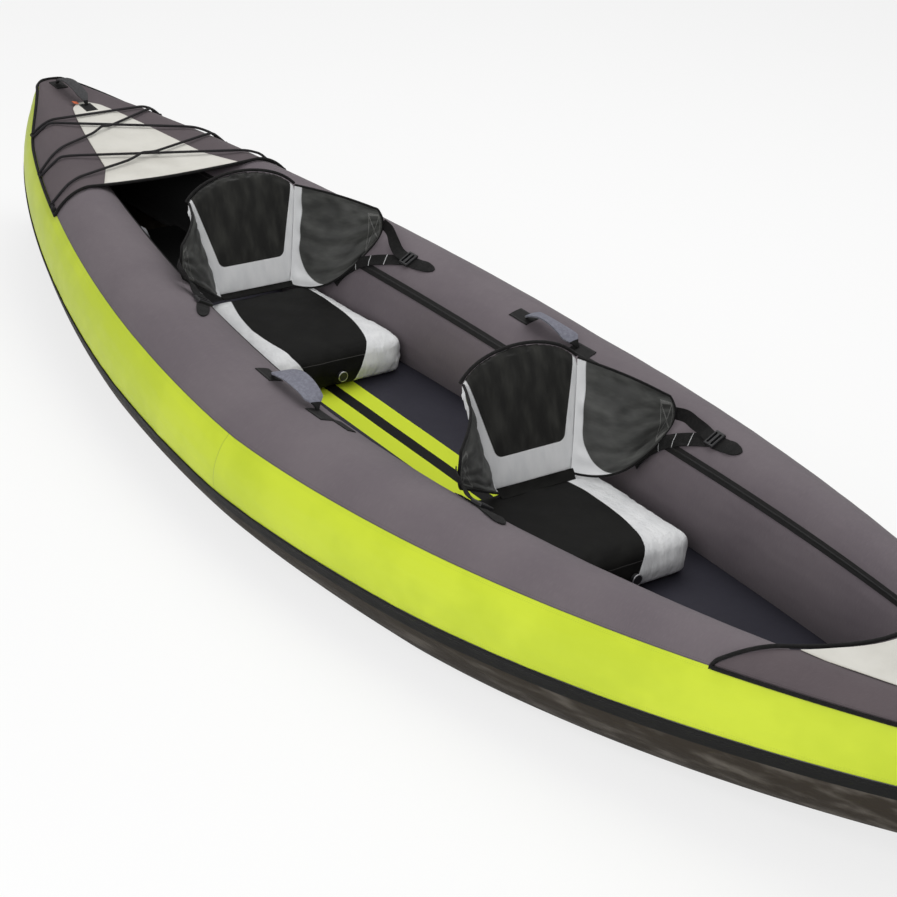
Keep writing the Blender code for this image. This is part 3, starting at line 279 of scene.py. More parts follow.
def coatedGreen(bandHeight):
    f = Finish("coatedGreen", {"Coat Weight": 0.06, "Coat Roughness": 0.35, "Specular IOR Level": 0.35})
    spot, u, v = f.cloth()
    cloud = f.noise(spot, 7.0, 3)
    base = f.mix(cloud.rise(0.35, 0.65), colours["green"], colours["greenDeep"])
    across = v * bandHeight
    edge = across.least(bandHeight - across)
    seamLine = abs(u - coatedSeam).under(0.0009)
    threads = stitchMask(u, edge, 0.005).most(stitchMask(u, edge, 0.0085))
    base = f.mix(threads * 0.35, base, colours["greenThread"])
    base = f.mix(seamLine * 0.6, base, colours["greenSeam"])
    base = f.mix(edge.rise(0.0, 0.004) * -0.25 + 0.25, base, colours["greenEdge"])
    f.colour(base)
    f.roughness(0.34 + 0.14 * f.noise(spot, 35.0, 3))
    overlap = u.rise(coatedSeam - 0.0005, coatedSeam + 0.0005)
    f.bump(overlap, 0.6, 0.0006)
    f.bump(f.noise(spot, 9.0, 3, (1.0, 1.0, 2.6)), 0.14, 0.008)
    f.bump(f.noise(spot, 42.0, 2, (2.2, 1.0, 0.6)) * (1 - edge.rise(0.0, 0.022)), 0.45, 0.004)
    f.bump(f.weave(u, across, 0.0011), 0.10, 0.0002)
    return f.material


def wovenCover(name, tone, deep, girth, paintedShadeAft=None):
    f = Finish(name, {"Sheen Weight": 0.06, "Sheen Roughness": 0.5, "Specular IOR Level": 0.25})
    spot, u, v = f.cloth()
    cloud = f.noise(spot, 5.0, 4)
    across = v * girth
    edge = across.least(girth - across)
    base = f.mix(cloud.rise(0.3, 0.7), tone, deep)
    yarn = f.noise(f.joinAxes(u * 900.0, across * 60.0), 1.0, 2)
    base = f.mix(yarn.rise(0.45, 0.75) * 0.22, base, tuple(c * 1.5 for c in tone))
    base = f.mix((1 - edge.rise(0.0, 0.003)) * 0.55, base, tuple(c * 0.35 for c in deep))
    threads = stitchMask(u, edge, 0.006)
    base = f.mix(threads * 0.5, base, tuple(c * 0.5 for c in deep))
    if paintedShadeAft:      # aft of here the cover is painted black: painted shade for the dark inside under the stern deck, behind the rear seat
        base = f.mix(u.under(paintedShadeAft), base, colours["black"])
    f.colour(base)
    f.roughness(0.66 + 0.16 * f.noise(spot, 60.0, 3))
    f.bump(f.noise(spot, 6.0, 3, (1.0, 1.0, 1.6)), 0.22, 0.012)
    pull = f.noise(spot, 34.0, 2, (2.4, 1.0, 0.7)) * (1 - edge.rise(0.0, 0.026))
    f.bump(pull, 0.40, 0.004)
    f.bump(f.weave(u, across, 0.0013), 0.22, 0.00025)
    return f.material


def tarpaulinSkin():
    f = Finish("blackTarpaulin", {"Specular IOR Level": 0.2})
    spot, u, v = f.cloth()
    # lighter brownish streaks along the bottom: wear, and painted sheen standing in for the tarpaulin's gloss
    scuffAndSheen = f.noise(spot, 14.0, 5, (0.25, 2.2, 3.4))
    base = f.mix(scuffAndSheen.rise(0.44, 0.80), colours["tarpaulin"], colours["tarpaulinWornAndSheen"])
    fromEdge = v.least(hull["bottomGirth"] - v)
    base = f.mix(fromEdge.under(0.105), base, colours["black"])
    f.colour(base)
    f.roughness(0.36 + 0.26 * f.noise(spot, 24.0, 4))
    f.bump(f.noise(spot, 11.0, 4, (0.45, 1.6, 2.4)), 0.42, 0.010)
    f.bump(f.noise(spot, 55.0, 3, (0.5, 1.4, 2.0)), 0.25, 0.002)
    f.bump(f.weave(u, v, 0.0022), 0.18, 0.0003)
    return f.material


def ivoryPanel():
    f = Finish("ivoryPanel", {"Coat Weight": 0.06, "Coat Roughness": 0.4})
    spot, _, v = f.cloth()
    cloud = f.noise(spot, 11.0, 4)
    base = f.mix(cloud.rise(0.35, 0.8), colours["ivory"], colours["ivoryDeep"])
    edge = v.least(1 - v)
    base = f.mix((1 - edge.rise(0.0, 0.03)) * 0.25, base, colours["ivoryEdge"])
    f.colour(base)
    f.roughness(0.46 + 0.14 * f.noise(spot, 50.0, 3))
    f.bump(f.noise(spot, 13.0, 3, (1.0, 0.5, 1.0)), 0.30, 0.008)
    x, y, _ = f.axes(spot)
    f.bump(f.weave(x, y, 0.0012), 0.10, 0.0002)
    return f.material


def webbing(name, tone, deep, rib=0.0016, tack=0.0, first=0.0, last=9.0, endTone=None, ends=(0.0, 1.0)):
    f = Finish(name, {"Sheen Weight": 0.03, "Specular IOR Level": 0.2})
    spot, u, v = f.cloth()
    fuzz = f.noise(spot, 180.0, 3)
    base = f.mix(fuzz.rise(0.3, 0.8), deep, tone)
    if tack:
        bars = abs((u / tack).part() - 0.5).under(0.018) * u.over(first) * u.under(last)
        base = f.mix(bars * 0.85, base, colours["white"])
    if endTone:
        base = f.mix(u.under(ends[0]).most(u.over(ends[1])), base, endTone)
    f.colour(base)
    f.roughness(0.68 + 0.2 * fuzz)
    ribs = (u * (2 * math.pi / rib)).sine()
    f.bump(ribs * (v * (2 * math.pi / 0.0011)).sine(), 0.55, 0.0004)
    return f.material


def floorSheet(stripe):
    f = Finish("floorSheet", {"Sheen Weight": 0.02, "Specular IOR Level": 0.12})
    spot = f.place()
    x, y, _ = f.axes(spot)
    cloud = f.noise(spot, 6.0, 4)
    base = f.mix(cloud.rise(0.3, 0.75), colours["navy"], colours["navyDeep"])
    inside = x.under(stripe["fore"]) * x.over(stripe["aft"])
    halfBreadth = (stripe["port"] - stripe["starboard"]) / 2
    away = abs(y - (stripe["port"] + stripe["starboard"]) / 2)
    greenBand = away.under(halfBreadth) * inside
    blackBand = y.over(stripe["coreStarboard"]) * y.under(stripe["corePort"]) * inside
    base = f.mix(greenBand, base, colours["green"])
    base = f.mix(blackBand, base, colours["black"])
    # aft of here the floor is painted black: painted shade under the stern deck
    base = f.mix(x.under(hull["paintedShadeFrom"]), base, colours["black"])
    f.colour(base)
    f.roughness(0.50 + 0.16 * f.noise(spot, 45.0, 3))
    ridge = 1 - abs(away - halfBreadth).rise(0.0, 0.0014)
    f.bump(ridge * inside, 0.5, 0.0008)
    f.bump(f.noise(spot, 10.0, 3, (1.0, 0.6, 1.0)), 0.30, 0.008)
    f.bump(f.weave(x, y, 0.0016), 0.16, 0.0003)
    return f.material


def mouldedPlastic(name, tone):
    f = Finish(name, {"Specular IOR Level": 0.5})
    spot = f.place()
    speck = f.noise(spot, 420.0, 3)
    f.colour(f.mix(speck.rise(0.4, 0.9), tone, tuple(c * 1.5 for c in tone)))
    f.roughness(0.34 + 0.22 * speck)
    f.bump(speck, 0.25, 0.0003)
    return f.material


def braidedCord():
    f = Finish("braidedCord", {"Specular IOR Level": 0.25})
    spot = f.place()
    x, y, z = f.axes(spot)
    braid = f.weave(x + y, x - y + z, 0.0022)
    base = f.mix(braid.rise(-0.6, 0.9), colours["cord"], colours["cordLight"])
    f.colour(base)
    f.roughness(0.62 + 0.15 * f.noise(spot, 200.0, 2))
    f.bump(braid, 0.6, 0.0005)
    return f.material


def bladderFilm():
    f = Finish("bladderFilm", {"Specular IOR Level": 0.5})
    spot = f.place()
    cloud = f.noise(spot, 20.0, 3)
    f.colour(f.mix(cloud, colours["film"], tuple(c * 0.85 for c in colours["film"])))
    f.roughness(0.3 + 0.2 * cloud)
    f.bump(cloud, 0.2, 0.002)
    return f.material


# Hull shape: the same values and forms as the imported part, drawn smooth between its stations

# the entry at x = -0.80 marks where painted shade starts: inner covers and floor are painted black aft of it
hull = dict(length=3.32, beam=0.96, stemHalf=0.008, noseLength=0.050, stemLean=0.030, tubeRadius=0.137,
            tubeRounding=0.012, crownHeight=0.271, sheer=0.086, sheerPower=1.25, rocker=0.150,
            rockerPower=1.47, flatPart=0.30, planAft=(1.70, 0.72), planFore=(1.76, 0.87),
            taperAft=(0.556, 1.92), taperFore=(0.838, 1.22), wall=0.0012, upperSeam=(38.9, 9.7),
            lowerSeam=(-10.5, 4.6), zipAngle=140.0, zipHalf=4.0, zipLength=2.24, innerEnd=235.0,
            bead=0.003, floorHeight=0.080, floorHalfLength=1.17, swell=0.0014, sternRise=32.0,
            sternRiseFrom=0.80, bandGirth=0.125, coverGirth=0.235, innerGirth=0.215, bottomGirth=0.72,
            paintedShadeFrom=-0.80, zipWidth=0.019, stemCurve=2.5, noseCurve=1.7, noseTuck=0.88,
            seamGap=0.06, keelAngle=-85.0, floorRoom=0.0018)
half = hull["length"] / 2
skinEnd = half - hull["noseLength"]


def bottomHeight(x):
    s = min(1.0, abs(x) / half)
    return hull["rocker"] * (max(0.0, s - hull["flatPart"]) / (1 - hull["flatPart"])) ** hull["rockerPower"]


def section(x):
    s = min(1.0, abs(x) / half)
    power, fullness = hull["planFore"] if x > 0 else hull["planAft"]
    taper, taperPower = hull["taperFore"] if x > 0 else hull["taperAft"]
    outer = hull["stemHalf"] + (hull["beam"] / 2 - hull["stemHalf"]) * (1 - s ** power) ** fullness
    radius = hull["tubeRadius"] * (1 - taper * s ** taperPower)
    halfWidth = 0.5 * (radius + outer / 2 - math.hypot(radius - outer / 2, hull["tubeRounding"]))
    bottom = bottomHeight(x)
    top = hull["crownHeight"] + hull["sheer"] * s ** hull["sheerPower"]
    return outer, halfWidth, (top - bottom) / 2, (top + bottom) / 2


def tubePoint(x, side, angle, lift=0.0):
    outer, halfWidth, halfHeight, middle = section(x)
    a = math.radians(angle)
    return Vector((x, side * (outer - halfWidth + (halfWidth + lift) * math.cos(a)),
                   middle + (halfHeight + lift) * math.sin(a)))


def upperSeam(x):
    share = min(1.0, abs(x) / half)
    base, growth = hull["upperSeam"]
    start = hull["sternRiseFrom"]
    tip = hull["sternRise"] * smoothStep((share - start) / (1 - start)) if x < 0 else 0.0
    return base + growth * share ** 3 + tip


def lowerSeam(x):
    base, growth = hull["lowerSeam"]
    return base + growth * min(1.0, abs(x) / half) ** 3


def floorTop(x):
    return hull["floorHeight"] + 0.7 * bottomHeight(x)


def smoothStep(t):
    t = min(1.0, max(0.0, t))
    return t * t * (3 - 2 * t)


def onHull(s):
    # the section that a place belongs to: past the last one, the last one
    return max(-skinEnd, min(skinEnd, s))


def ripple(p, size, seed=0.0):
    return noise.noise(Vector((p.x / size + seed, p.y / size, p.z / size)))


def onSkin(s, side, angle, lift):
    # a point of a skin at distance s along the boat; past the last section it closes on the stem
    if abs(s) <= skinEnd:
        return tubePoint(s, side, angle, lift)
    sign = math.copysign(1.0, s)
    share = min(1.0, (abs(s) - skinEnd) / hull["noseLength"])
    end = tubePoint(sign * skinEnd, side, angle, lift)
    breadth = max(abs(end.y) * (1 - share ** hull["noseCurve"]), 0.00015)
    return Vector((end.x + sign * noseReach(end.z) * share, side * breadth, end.z))


def noseReach(z):
    # how far the skins run past the last section: least at its crown and its bottom, alike fore and aft
    _, _, halfHeight, middle = section(skinEnd)
    height = min(1.0, abs((z - middle) / halfHeight))
    return hull["noseLength"] - hull["stemLean"] * height ** hull["stemCurve"]


def noseOf(p, sign, share):
    # a point of the last section, taken past it onto the nose
    tuck = 1 - hull["noseTuck"] * share ** hull["noseCurve"]
    return Vector((p.x + sign * noseReach(p.z) * share, p.y * tuck, p.z))


# Making pieces

def clean():
    if bpy.context.object and bpy.context.object.mode != "OBJECT":
        bpy.ops.object.mode_set(mode="OBJECT")
    bpy.ops.object.select_all(action="DESELECT")


def applyAll(obj):
    for modifier in list(obj.modifiers):
        bpy.ops.object.modifier_apply(modifier=modifier.name)


def dress(obj, material, body, stands, angle=40.0):
    obj.data.materials.clear()
    obj.data.materials.append(material)
    bpy.ops.object.shade_smooth_by_angle(angle=math.radians(angle))
    if body:
        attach(obj, body)
    if stands:
        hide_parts(*stands)
    return obj


def sheetPiece(name, shape, size, steps, thickness, material, facing, body="hull", stands=(), offset=-1.0):
    # a cloth panel: a grid set on shape(u, v), then given its thickness; size sets the scale of its UV map
    clean()
    bpy.ops.mesh.primitive_grid_add(x_subdivisions=steps[0], y_subdivisions=steps[1], size=2.0)
    obj = bpy.context.object
    obj.name = name
    mesh = obj.data
    for vertex in mesh.vertices:
        vertex.co = shape((vertex.co.x + 1) / 2, (vertex.co.y + 1) / 2)
    for loop in mesh.uv_layers[0].data:
        loop.uv = (loop.uv[0] * size[0] + size[2], loop.uv[1] * size[1])
    mesh.update()
    middle = mesh.polygons[len(mesh.polygons) // 2 + steps[0] // 2]
    outward = facing(middle.center) if callable(facing) else Vector(facing)
    if middle.normal.dot(outward) < 0:
        mesh.flip_normals()
    if thickness:
        wall = obj.modifiers.new("wall", "SOLIDIFY")
        wall.thickness = thickness
        wall.offset = offset
        applyAll(obj)
    return dress(obj, material, body, stands)


def cordPiece(name, points, radius, material, closed=False, body="hull", stands=()):
    clean()
    curve = bpy.data.curves.new(name, "CURVE")
    curve.dimensions = "3D"
    curve.bevel_depth = radius
    curve.bevel_resolution = 3
    curve.use_fill_caps = not closed
    spline = curve.splines.new("POLY")
    spline.points.add(len(points) - 1)
    for point, place in zip(spline.points, points):
        point.co = (*place, 1.0)
    spline.use_cyclic_u = closed
    obj = bpy.data.objects.new(name, curve)
    bpy.context.collection.objects.link(obj)
    obj.select_set(True)
    bpy.context.view_layer.objects.active = obj
    bpy.ops.object.convert(target="MESH")
    obj = bpy.context.object
    bpy.ops.object.mode_set(mode="EDIT")
    bpy.ops.mesh.select_all(action="SELECT")
    bpy.ops.mesh.remove_doubles(threshold=0.00002)
    bpy.ops.object.mode_set(mode="OBJECT")
    return dress(obj, material, body, stands, 60.0)


def smoothPath(points, parts, closed=False):
    # a curve through all the points, each span cut into equal parts
    count = len(points)
    path = []
    spans = count if closed else count - 1
    for i in range(spans):
        if closed:
            a, b, c, d = (points[(i + k) % count] for k in (-1, 0, 1, 2))
        else:
            b, c = points[i], points[i + 1]
            a = points[i - 1] if i > 0 else b * 2 - c
            d = points[i + 2] if i + 2 < count else c * 2 - b
        for n in range(parts):
            t = n / parts
            path.append(0.5 * (2 * b + (c - a) * t + (2 * a - 5 * b + 4 * c - d) * t * t
                               + (3 * b - a - 3 * c + d) * t ** 3))
    if not closed:
        path.append(points[-1].copy())
    return path


def awayFromTube(side):
    def outward(p):
        outer, halfWidth, _, middle = section(onHull(p.x))
        return Vector((0, p.y - side * (outer - halfWidth), p.z - middle))
    return outward


# Hull skins

def tubeSkin(name, side, low, high, girth, nose, material, seed, columns=22):
    reach = skinEnd + (hull["noseLength"] if nose else 0.0)
    margin = 0.00015

    def shape(u, v):
        s = (2 * u - 1) * reach
        x = onHull(s)
        halfWidth = section(x)[1]
        pad = math.degrees(margin / halfWidth)
        angle = (low(x) + pad) * (1 - v) + (high(x) - pad) * v
        fromEdge = min(v, 1 - v) * girth
        rise = hull["swell"] * smoothStep(fromEdge / 0.022) * smoothStep((skinEnd - abs(s)) / 0.10 + 0.1)
        p = onSkin(s, side, angle, 0.0)
        wave = 0.0007 * ripple(Vector((s * 2.2, angle / 30, side * 3.0)), 0.16, seed)
        pull = 0.0008 * ripple(Vector((s, angle / 200, side)), 0.030, seed + 9)
        pull *= 1 - smoothStep(fromEdge / 0.030)
        if abs(s) > skinEnd:
            return p
        return tubePoint(s, side, angle, max(0.0, rise + wave + pull))

    length = 2 * reach
    sheetPiece(name, shape, (length, 1.0, -length / 2), (330, columns), hull["wall"], material,
               awayFromTube(side), stands=(name,))


def makeSkins():
    def zipSeam(x):
        return hull["zipAngle"]

    def innerSeam(x):
        return hull["innerEnd"]

    band, top, inner = hull["bandGirth"], hull["coverGirth"], hull["innerGirth"]
    green = coatedGreen(band)
    cover = wovenCover("topCoverCloth", colours["mauve"], colours["mauveDeep"], top)
    # inner covers: painted black towards the stern as painted shade
    shadedInnerCloth = wovenCover("innerCoverCloth", colours["mauve"], colours["mauveDeep"], inner, hull["paintedShadeFrom"])
    for side, word in sides:
        tubeSkin("side_band_" + word, side, lowerSeam, upperSeam, band, True, green, side * 4.0)
        tubeSkin("top_cover_" + word, side, upperSeam, zipSeam, top, False, cover, side * 7.0, 30)
        tubeSkin("inner_cover_" + word, side, zipSeam, innerSeam, inner, False, shadedInnerCloth, side * 11.0, 28)
    print("side skins made")


def makeBottom():
    reach = skinEnd + hull["noseLength"]
    steps = [0.0, 0.5, 1.6, 2.6, 3.4, 4.2, 5.0]      # degrees below the seam, over the bead
    turns, flatColumns = 14, 9      # columns round each tube below the bead, and across the flat middle
    columns = len(steps) + turns
    across = 2 * columns + flatColumns

    def portPoint(j, x):
        seam = lowerSeam(x) - hull["seamGap"]
        if j < len(steps):
            angle = seam - steps[j]
        else:
            angle = seam - steps[-1] + (hull["keelAngle"] - seam) * (j - len(steps) + 1) / turns
        bead = hull["bead"] * (1.0 if j in (1, 2, 3) else 0.72 if j in (0, 4) else 0.2 if j == 5 else 0.0)
        return tubePoint(x, 1, angle, bead)

    def shape(u, v):
        s = (2 * u - 1) * reach
        x = onHull(s)
        j = round(v * across)
        if j < columns:
            p = portPoint(j, x)
        elif j > columns + flatColumns:
            p = portPoint(across - j, x)
            p.y = -p.y
        else:
            flat = portPoint(columns - 1, x)
            share = (j - columns + 1) / (flatColumns + 2)
            p = Vector((x, flat.y * (1 - 2 * share), flat.z))
        if abs(s) > skinEnd:
            p = noseOf(p, math.copysign(1.0, s), (abs(s) - skinEnd) / hull["noseLength"])
        return p

    sheetPiece("hull_bottom", shape, (2 * reach, hull["bottomGirth"], -reach), (330, across), hull["wall"],
               tarpaulinSkin(), lambda p: Vector((0, 0, -1)), stands=("hull_bottom",))
    print("bottom made")


def makeZips():
    tape = zipTape()
    for side, word in sides:
        def shape(u, v):
            x = (u - 0.5) * hull["zipLength"]
            angle = hull["zipAngle"] + (v - 0.5) * 2 * hull["zipHalf"]
            across = abs(v - 0.5) * 2
            teeth = 0.0009 * (1 - smoothStep(across / 0.24))
            tapeRise = 0.0018 + hull["swell"] * 0.15 + 0.0004 * math.sin(math.pi * v)
            return tubePoint(x, side, angle, tapeRise + teeth)
        sheetPiece("zip_strip_" + word, shape, (hull["zipLength"], hull["zipWidth"], 0.0), (230, 12),
                   0.0013, tape, awayFromTube(side), stands=("zip_strip_" + word,))
    print("zips made")


def zipTape():
    f = Finish("zipTape", {"Specular IOR Level": 0.3})
    spot, u, v = f.cloth()
    middle = abs(v - hull["zipWidth"] / 2)
    teeth = (1 - middle.rise(0.0016, 0.0024))
    row = (u * (2 * math.pi / 0.0026)).sine()
    base = f.mix(f.noise(spot, 120.0, 3), colours["black"], colours["blackDusty"])
    base = f.mix(teeth * row.rise(-0.4, 0.4) * 0.6, base, colours["zipTooth"])
    f.colour(base)
    f.roughness(0.62 - 0.22 * teeth)
    f.bump(teeth * row, 0.6, 0.0005)
    f.bump(f.weave(u, v, 0.0014), 0.25, 0.0003)
    stitch = stitchMask(u, middle, 0.0078)
    f.bump(stitch, 0.5, 0.0004)
    return f.material


# Floor

floorStripe = dict(fore=0.218, aft=-0.60, port=0.051, starboard=-0.062, corePort=0.009, coreStarboard=-0.020)


def makeFloor():
    reach = hull["floorHalfLength"]

    def innerWall(x, z):
        outer, halfWidth, halfHeight, middle = section(x)
        share = max(-1.0, min(1.0, (z - middle) / halfHeight))
        return outer - halfWidth - halfWidth * math.sqrt(1 - share * share) - hull["floorRoom"]

    def shape(u, v):
        x = (2 * u - 1) * reach
        top = floorTop(x)
        y = innerWall(x, top - hull["wall"]) * (2 * v - 1)
        puff = 0.0010 * (1 - (2 * v - 1) ** 6) * (0.6 + 0.4 * ripple(Vector((x, y, 0)), 0.09, 3.0))
        return Vector((x, y, top + puff))

    sheetPiece("floor_cover", shape, (2 * reach, 1.0, -reach), (240, 40), hull["wall"],
               floorSheet(floorStripe), (0, 0, 1), stands=("floor_cover",))
    print("floor made")


# Decks

deck = dict(lift=0.0020, sag=0.010, sagBreadth=0.20, piping=0.0036, panelLift=0.0010, overlap=1.2,
            seamColumn=7, crownColumn=3, crownShare=0.66, noseShare=0.09,
            stern=dict(sign=-1, edge=1.013, depth=0.008, noseSpread=0.25,
                       outline=((1.020, 0.172), (1.10, 0.126), (1.20, 0.102), (1.30, 0.078), (1.38, 0.056),
                                (1.44, 0.036), (1.465, 0.014))),
            bow=dict(sign=1, edge=1.100, depth=0.135, noseSpread=1.0,
                     outline=((1.200, 0.166), (1.24, 0.158), (1.29, 0.138), (1.35, 0.116), (1.42, 0.086),
                              (1.48, 0.056), (1.52, 0.020))))


def crownLine(x):
    outer, halfWidth, halfHeight, middle = section(x)
    return outer - halfWidth, middle + halfHeight


def deckSeam(x):
    return upperSeam(x) + deck["overlap"]


def deckHeight(x, y, lift):
    crownY, crownZ = crownLine(x)
    y = abs(y)
    stand = deck["lift"] + hull["wall"] + lift
    if y <= crownY:
        depth = deck["sag"] * min(1.0, (crownY / deck["sagBreadth"]) ** 2)
        return crownZ + stand - depth * (1 - (y / crownY) ** 2) * 0.92
    _, halfWidth, halfHeight, middle = section(x)
    share = min(1.0, (y - crownY) / (halfWidth + stand))
    return middle + (halfHeight + stand) * math.sqrt(1 - share * share)


def deckPoint(x, c, lift):
    # c counts the columns across a deck, from its middle to the crown and the seam of the port tube;
    # the starboard side's are negative
    crown, seam = deck["crownColumn"], deck["seamColumn"]
    side = 1 if c >= 0 else -1
    if abs(c) > crown:
        angle = 90.0 + (deckSeam(x) - 90.0) * (abs(c) - crown) / (seam - crown)
        return tubePoint(x, side, angle, deck["lift"] + lift)
    y = crownLine(x)[0] * c / crown
    return Vector((x, y, deckHeight(x, y, lift - hull["wall"])))


def deckEdge(end, c):
    crown, seam, middle = deck["crownColumn"], deck["seamColumn"], deck["crownShare"]
    c = abs(c)
    share = middle + (1 - middle) * (c - crown) / (seam - crown) if c > crown else middle * c / crown
    return end["sign"] * (end["edge"] + 0.004 + end["depth"] * (1 - share * share))


def deckSurface(end, t, c, lift):
    # t runs from 0 at the cockpit edge to 1 at the last section, then to 2 over the nose
    start = deckEdge(end, c)
    x = start + (end["sign"] * skinEnd - start) * min(1.0, t)
    p = deckPoint(x, c, lift)
    return noseOf(p, end["sign"], t - 1) if t > 1 else p


def makeDecks():
    cloth = wovenCover("deckCloth", colours["deck"], colours["deckDeep"], 0.5)
    ivory = ivoryPanel()
    for word in ("stern", "bow"):
        end = deck[word]

        def deckShape(u, v):
            t = u * (1 + deck["noseShare"])
            t = t if t <= 1 else 1 + (t - 1) / deck["noseShare"]
            c = deck["seamColumn"] * (1 - 2 * v)
            hold = smoothStep((deck["seamColumn"] - abs(c)) / 1.4)
            fold = 0.0016 * ripple(Vector((u * 3, c * 0.5 + u * 4, 0)), 0.9, 5.0) * hold
            return deckSurface(end, t, c, hull["wall"] + max(0.0, fold + 0.0004) * (1 if t < 1 else 0))

        def panelShape(u, v):
            outline = end["outline"]
            along = outline[0][0] + (outline[-1][0] - outline[0][0]) * u
            k = max(i for i in range(len(outline) - 1) if outline[i][0] <= along + 1e-9)
            t = (along - outline[k][0]) / (outline[k + 1][0] - outline[k][0])
            halfBreadth = outline[k][1] * (1 - t) + outline[k + 1][1] * t
            y = halfBreadth * (1 - 2 * v)
            startX = edgeAt(end, y) + 0.005
            x = end["sign"] * (startX + (outline[-1][0] - startX) * u)
            bulge = 0.0012 * smoothStep(min(v, 1 - v) / 0.2)
            bulge = 0.0009 + bulge * (1 + ripple(Vector((x, y, 0)), 0.07, 2.0))
            return Vector((x, y, deckHeight(x, y, deck["panelLift"] + hull["wall"] + bulge)))

        sheetPiece(word + "_deck", deckShape, (0.66, 1.0, 0.0), (96, 56), hull["wall"], cloth, (0, 0, 1),
                   stands=(word + "_deck",))
        sheetPiece(word + "_deck_panel", panelShape, (1.0, 1.0, 0.0), (60, 26), hull["wall"], ivory,
                   (0, 0, 1), stands=(word + "_deck_panel",))
    print("decks made")


def edgeAt(end, y):
    # the cockpit edge of a deck at breadth y
    y = abs(y)
    before = deckPoint(deckEdge(end, 0.0), 0.0, 0.0)
    for i in range(1, 57):
        after = deckPoint(deckEdge(end, i / 8), i / 8, 0.0)
        if after.y >= y:
            t = (y - before.y) / max(1e-9, after.y - before.y)
            return abs(before.x + (after.x - before.x) * t)
        before = after
    return abs(before.x)


def arcAngle(x, angle, length):
    _, halfWidth, halfHeight, _ = section(x)
    a = math.radians(angle)
    return math.degrees(length / math.hypot(halfWidth * math.sin(a), halfHeight * math.cos(a)))


def pipingPoint(x, side):
    seam = deckSeam(x)
    return tubePoint(x, side, seam - arcAngle(x, seam, deck["piping"] + 0.0012), deck["piping"] + 0.0014)


def makeTrims(material):
    for word in ("stern", "bow"):
        end = deck[word]
        sign = end["sign"]
        seamColumn = deck["seamColumn"]
        corner = deckEdge(end, seamColumn)
        port = [pipingPoint(corner + (sign * skinEnd - corner) * i / 24, 1) for i in range(25)]
        outward = deck["piping"] + 0.0009
        nose = deckSurface(end, 1.62, seamColumn, 0.0)
        stem = deckSurface(end, 2.0, seamColumn, 0.0)
        spread = end["noseSpread"]
        lift = 0.0022 + 0.0026 * (1 - spread)
        port.append(nose + Vector((sign * 0.0045 * spread, (outward + 0.0030) * spread, lift + 0.0008)))
        port.append(stem + Vector((sign * 0.0040 * spread, (outward + 0.0010) * spread, lift)))
        port.append(stem + Vector((sign * (outward + 0.0014) * spread, -0.001, lift)))
        point = pipingPoint(corner - sign * 0.0035, 1)
        port = [point + (port[0] - point) * 0.5] + port
        starboard = [Vector((p.x, -p.y, p.z)) for p in reversed(port)]
        edge = []
        for i in range(43):
            c = -seamColumn + i / 3
            p = deckPoint(deckEdge(end, c), c, deck["piping"] + 0.0036 - deck["lift"])
            edge.append(p - Vector((sign * 0.0040, 0, 0)))
        edge[0] = edge[0] + Vector((sign * 0.003, 0.003, -0.001))
        edge[-1] = edge[-1] + Vector((sign * 0.003, -0.003, -0.001))
        path = smoothPath(port + starboard + edge, 3, closed=True)
        cordPiece(word + "_deck_trim", path, deck["piping"], material, closed=True,
                  stands=(word + "_deck_trim",))
    print("deck piping made")


# Deck cord

lacing = dict(radius=0.003, loops=(1.385, 1.200, 1.045), loopRadius=0.0050, loopWire=0.0013, steps=28,
              lead=0.009, tail=0.022)


def loopCentre(x, side):
    seam = deckSeam(x)
    return pipingPoint(x, side), tubePoint(x, side, seam + arcAngle(x, seam, 0.0012), 0.0103)


def spanPoints(start, end, high):
    # straight from loop to loop as seen from above, taut between the crowns and over the skin outside them
    first, last = loopCentre(-start[0], start[1])[1], loopCentre(-end[0], end[1])[1]
    lift = lacing["radius"] + 0.0036
    span = []
    for i in range(2, lacing["steps"] - 1):
        t = i / lacing["steps"]
        p = first.lerp(last, t)
        height = deckHeight(p.x, max(abs(p.y), crownLine(p.x)[0]), lift)
        if high:
            height += (2 * lacing["radius"] + 0.0012) * math.exp(-((t - 0.5) / 0.045) ** 2)
        span.append(Vector((p.x, p.y, height)))
    return span


def makeDeckCord(black):
    far, middle, near = lacing["loops"]
    stops = ((near, -1), (middle, 1), (far, -1), (far, 1), (middle, -1), (near, 1))
    last = len(stops) - 1
    headings = (-1, -1, -1, 1, 1, 1)
    raised = (True, False, False, True, False)
    controls = []
    for i, (x, side) in enumerate(stops):
        centre = loopCentre(-x, side)[1]
        ahead = (loopCentre(-x + 0.02, side)[1] - loopCentre(-x - 0.02, side)[1]).normalized() * headings[i]
        inboard = Vector((0, -side * 0.0025, 0.0008))
        before, after = (lacing["tail"] if i == n else lacing["lead"] for n in (0, last))
        controls.append(centre - ahead * before + (inboard if i else Vector()))
        controls.append(centre)
        controls.append(centre + ahead * after + (inboard if i < last else Vector()))
        if i < last:
            controls += spanPoints(stops[i], stops[i + 1], raised[i])
        cordLoop(-x, side, black)
    cordPiece("deck_cord", smoothPath(controls, 3), lacing["radius"], braidedCord(), stands=("deck_cord",))
    for i in (0, last):
        x, side = stops[i]
        makeKnot("cordKnot" + str(i), loopCentre(-x + 0.017, side)[1])
    print("deck cord laced")


def cordLoop(x, side, material):
    piping, centre = loopCentre(x, side)
    ahead = (loopCentre(x + 0.02, side)[1] - centre).normalized()
    toward = piping - centre
    toward = (toward - ahead * toward.dot(ahead)).normalized()
    upward = ahead.cross(toward)
    points = []
    for i in range(20):
        a = 2 * math.pi * i / 20
        points.append(centre + (toward * math.cos(a) + upward * math.sin(a)) * lacing["loopRadius"])
    name = "cordLoop" + str(round(abs(x) * 1000)) + ("port" if side > 0 else "starboard")
    cordPiece(name, points, lacing["loopWire"], material, closed=True)


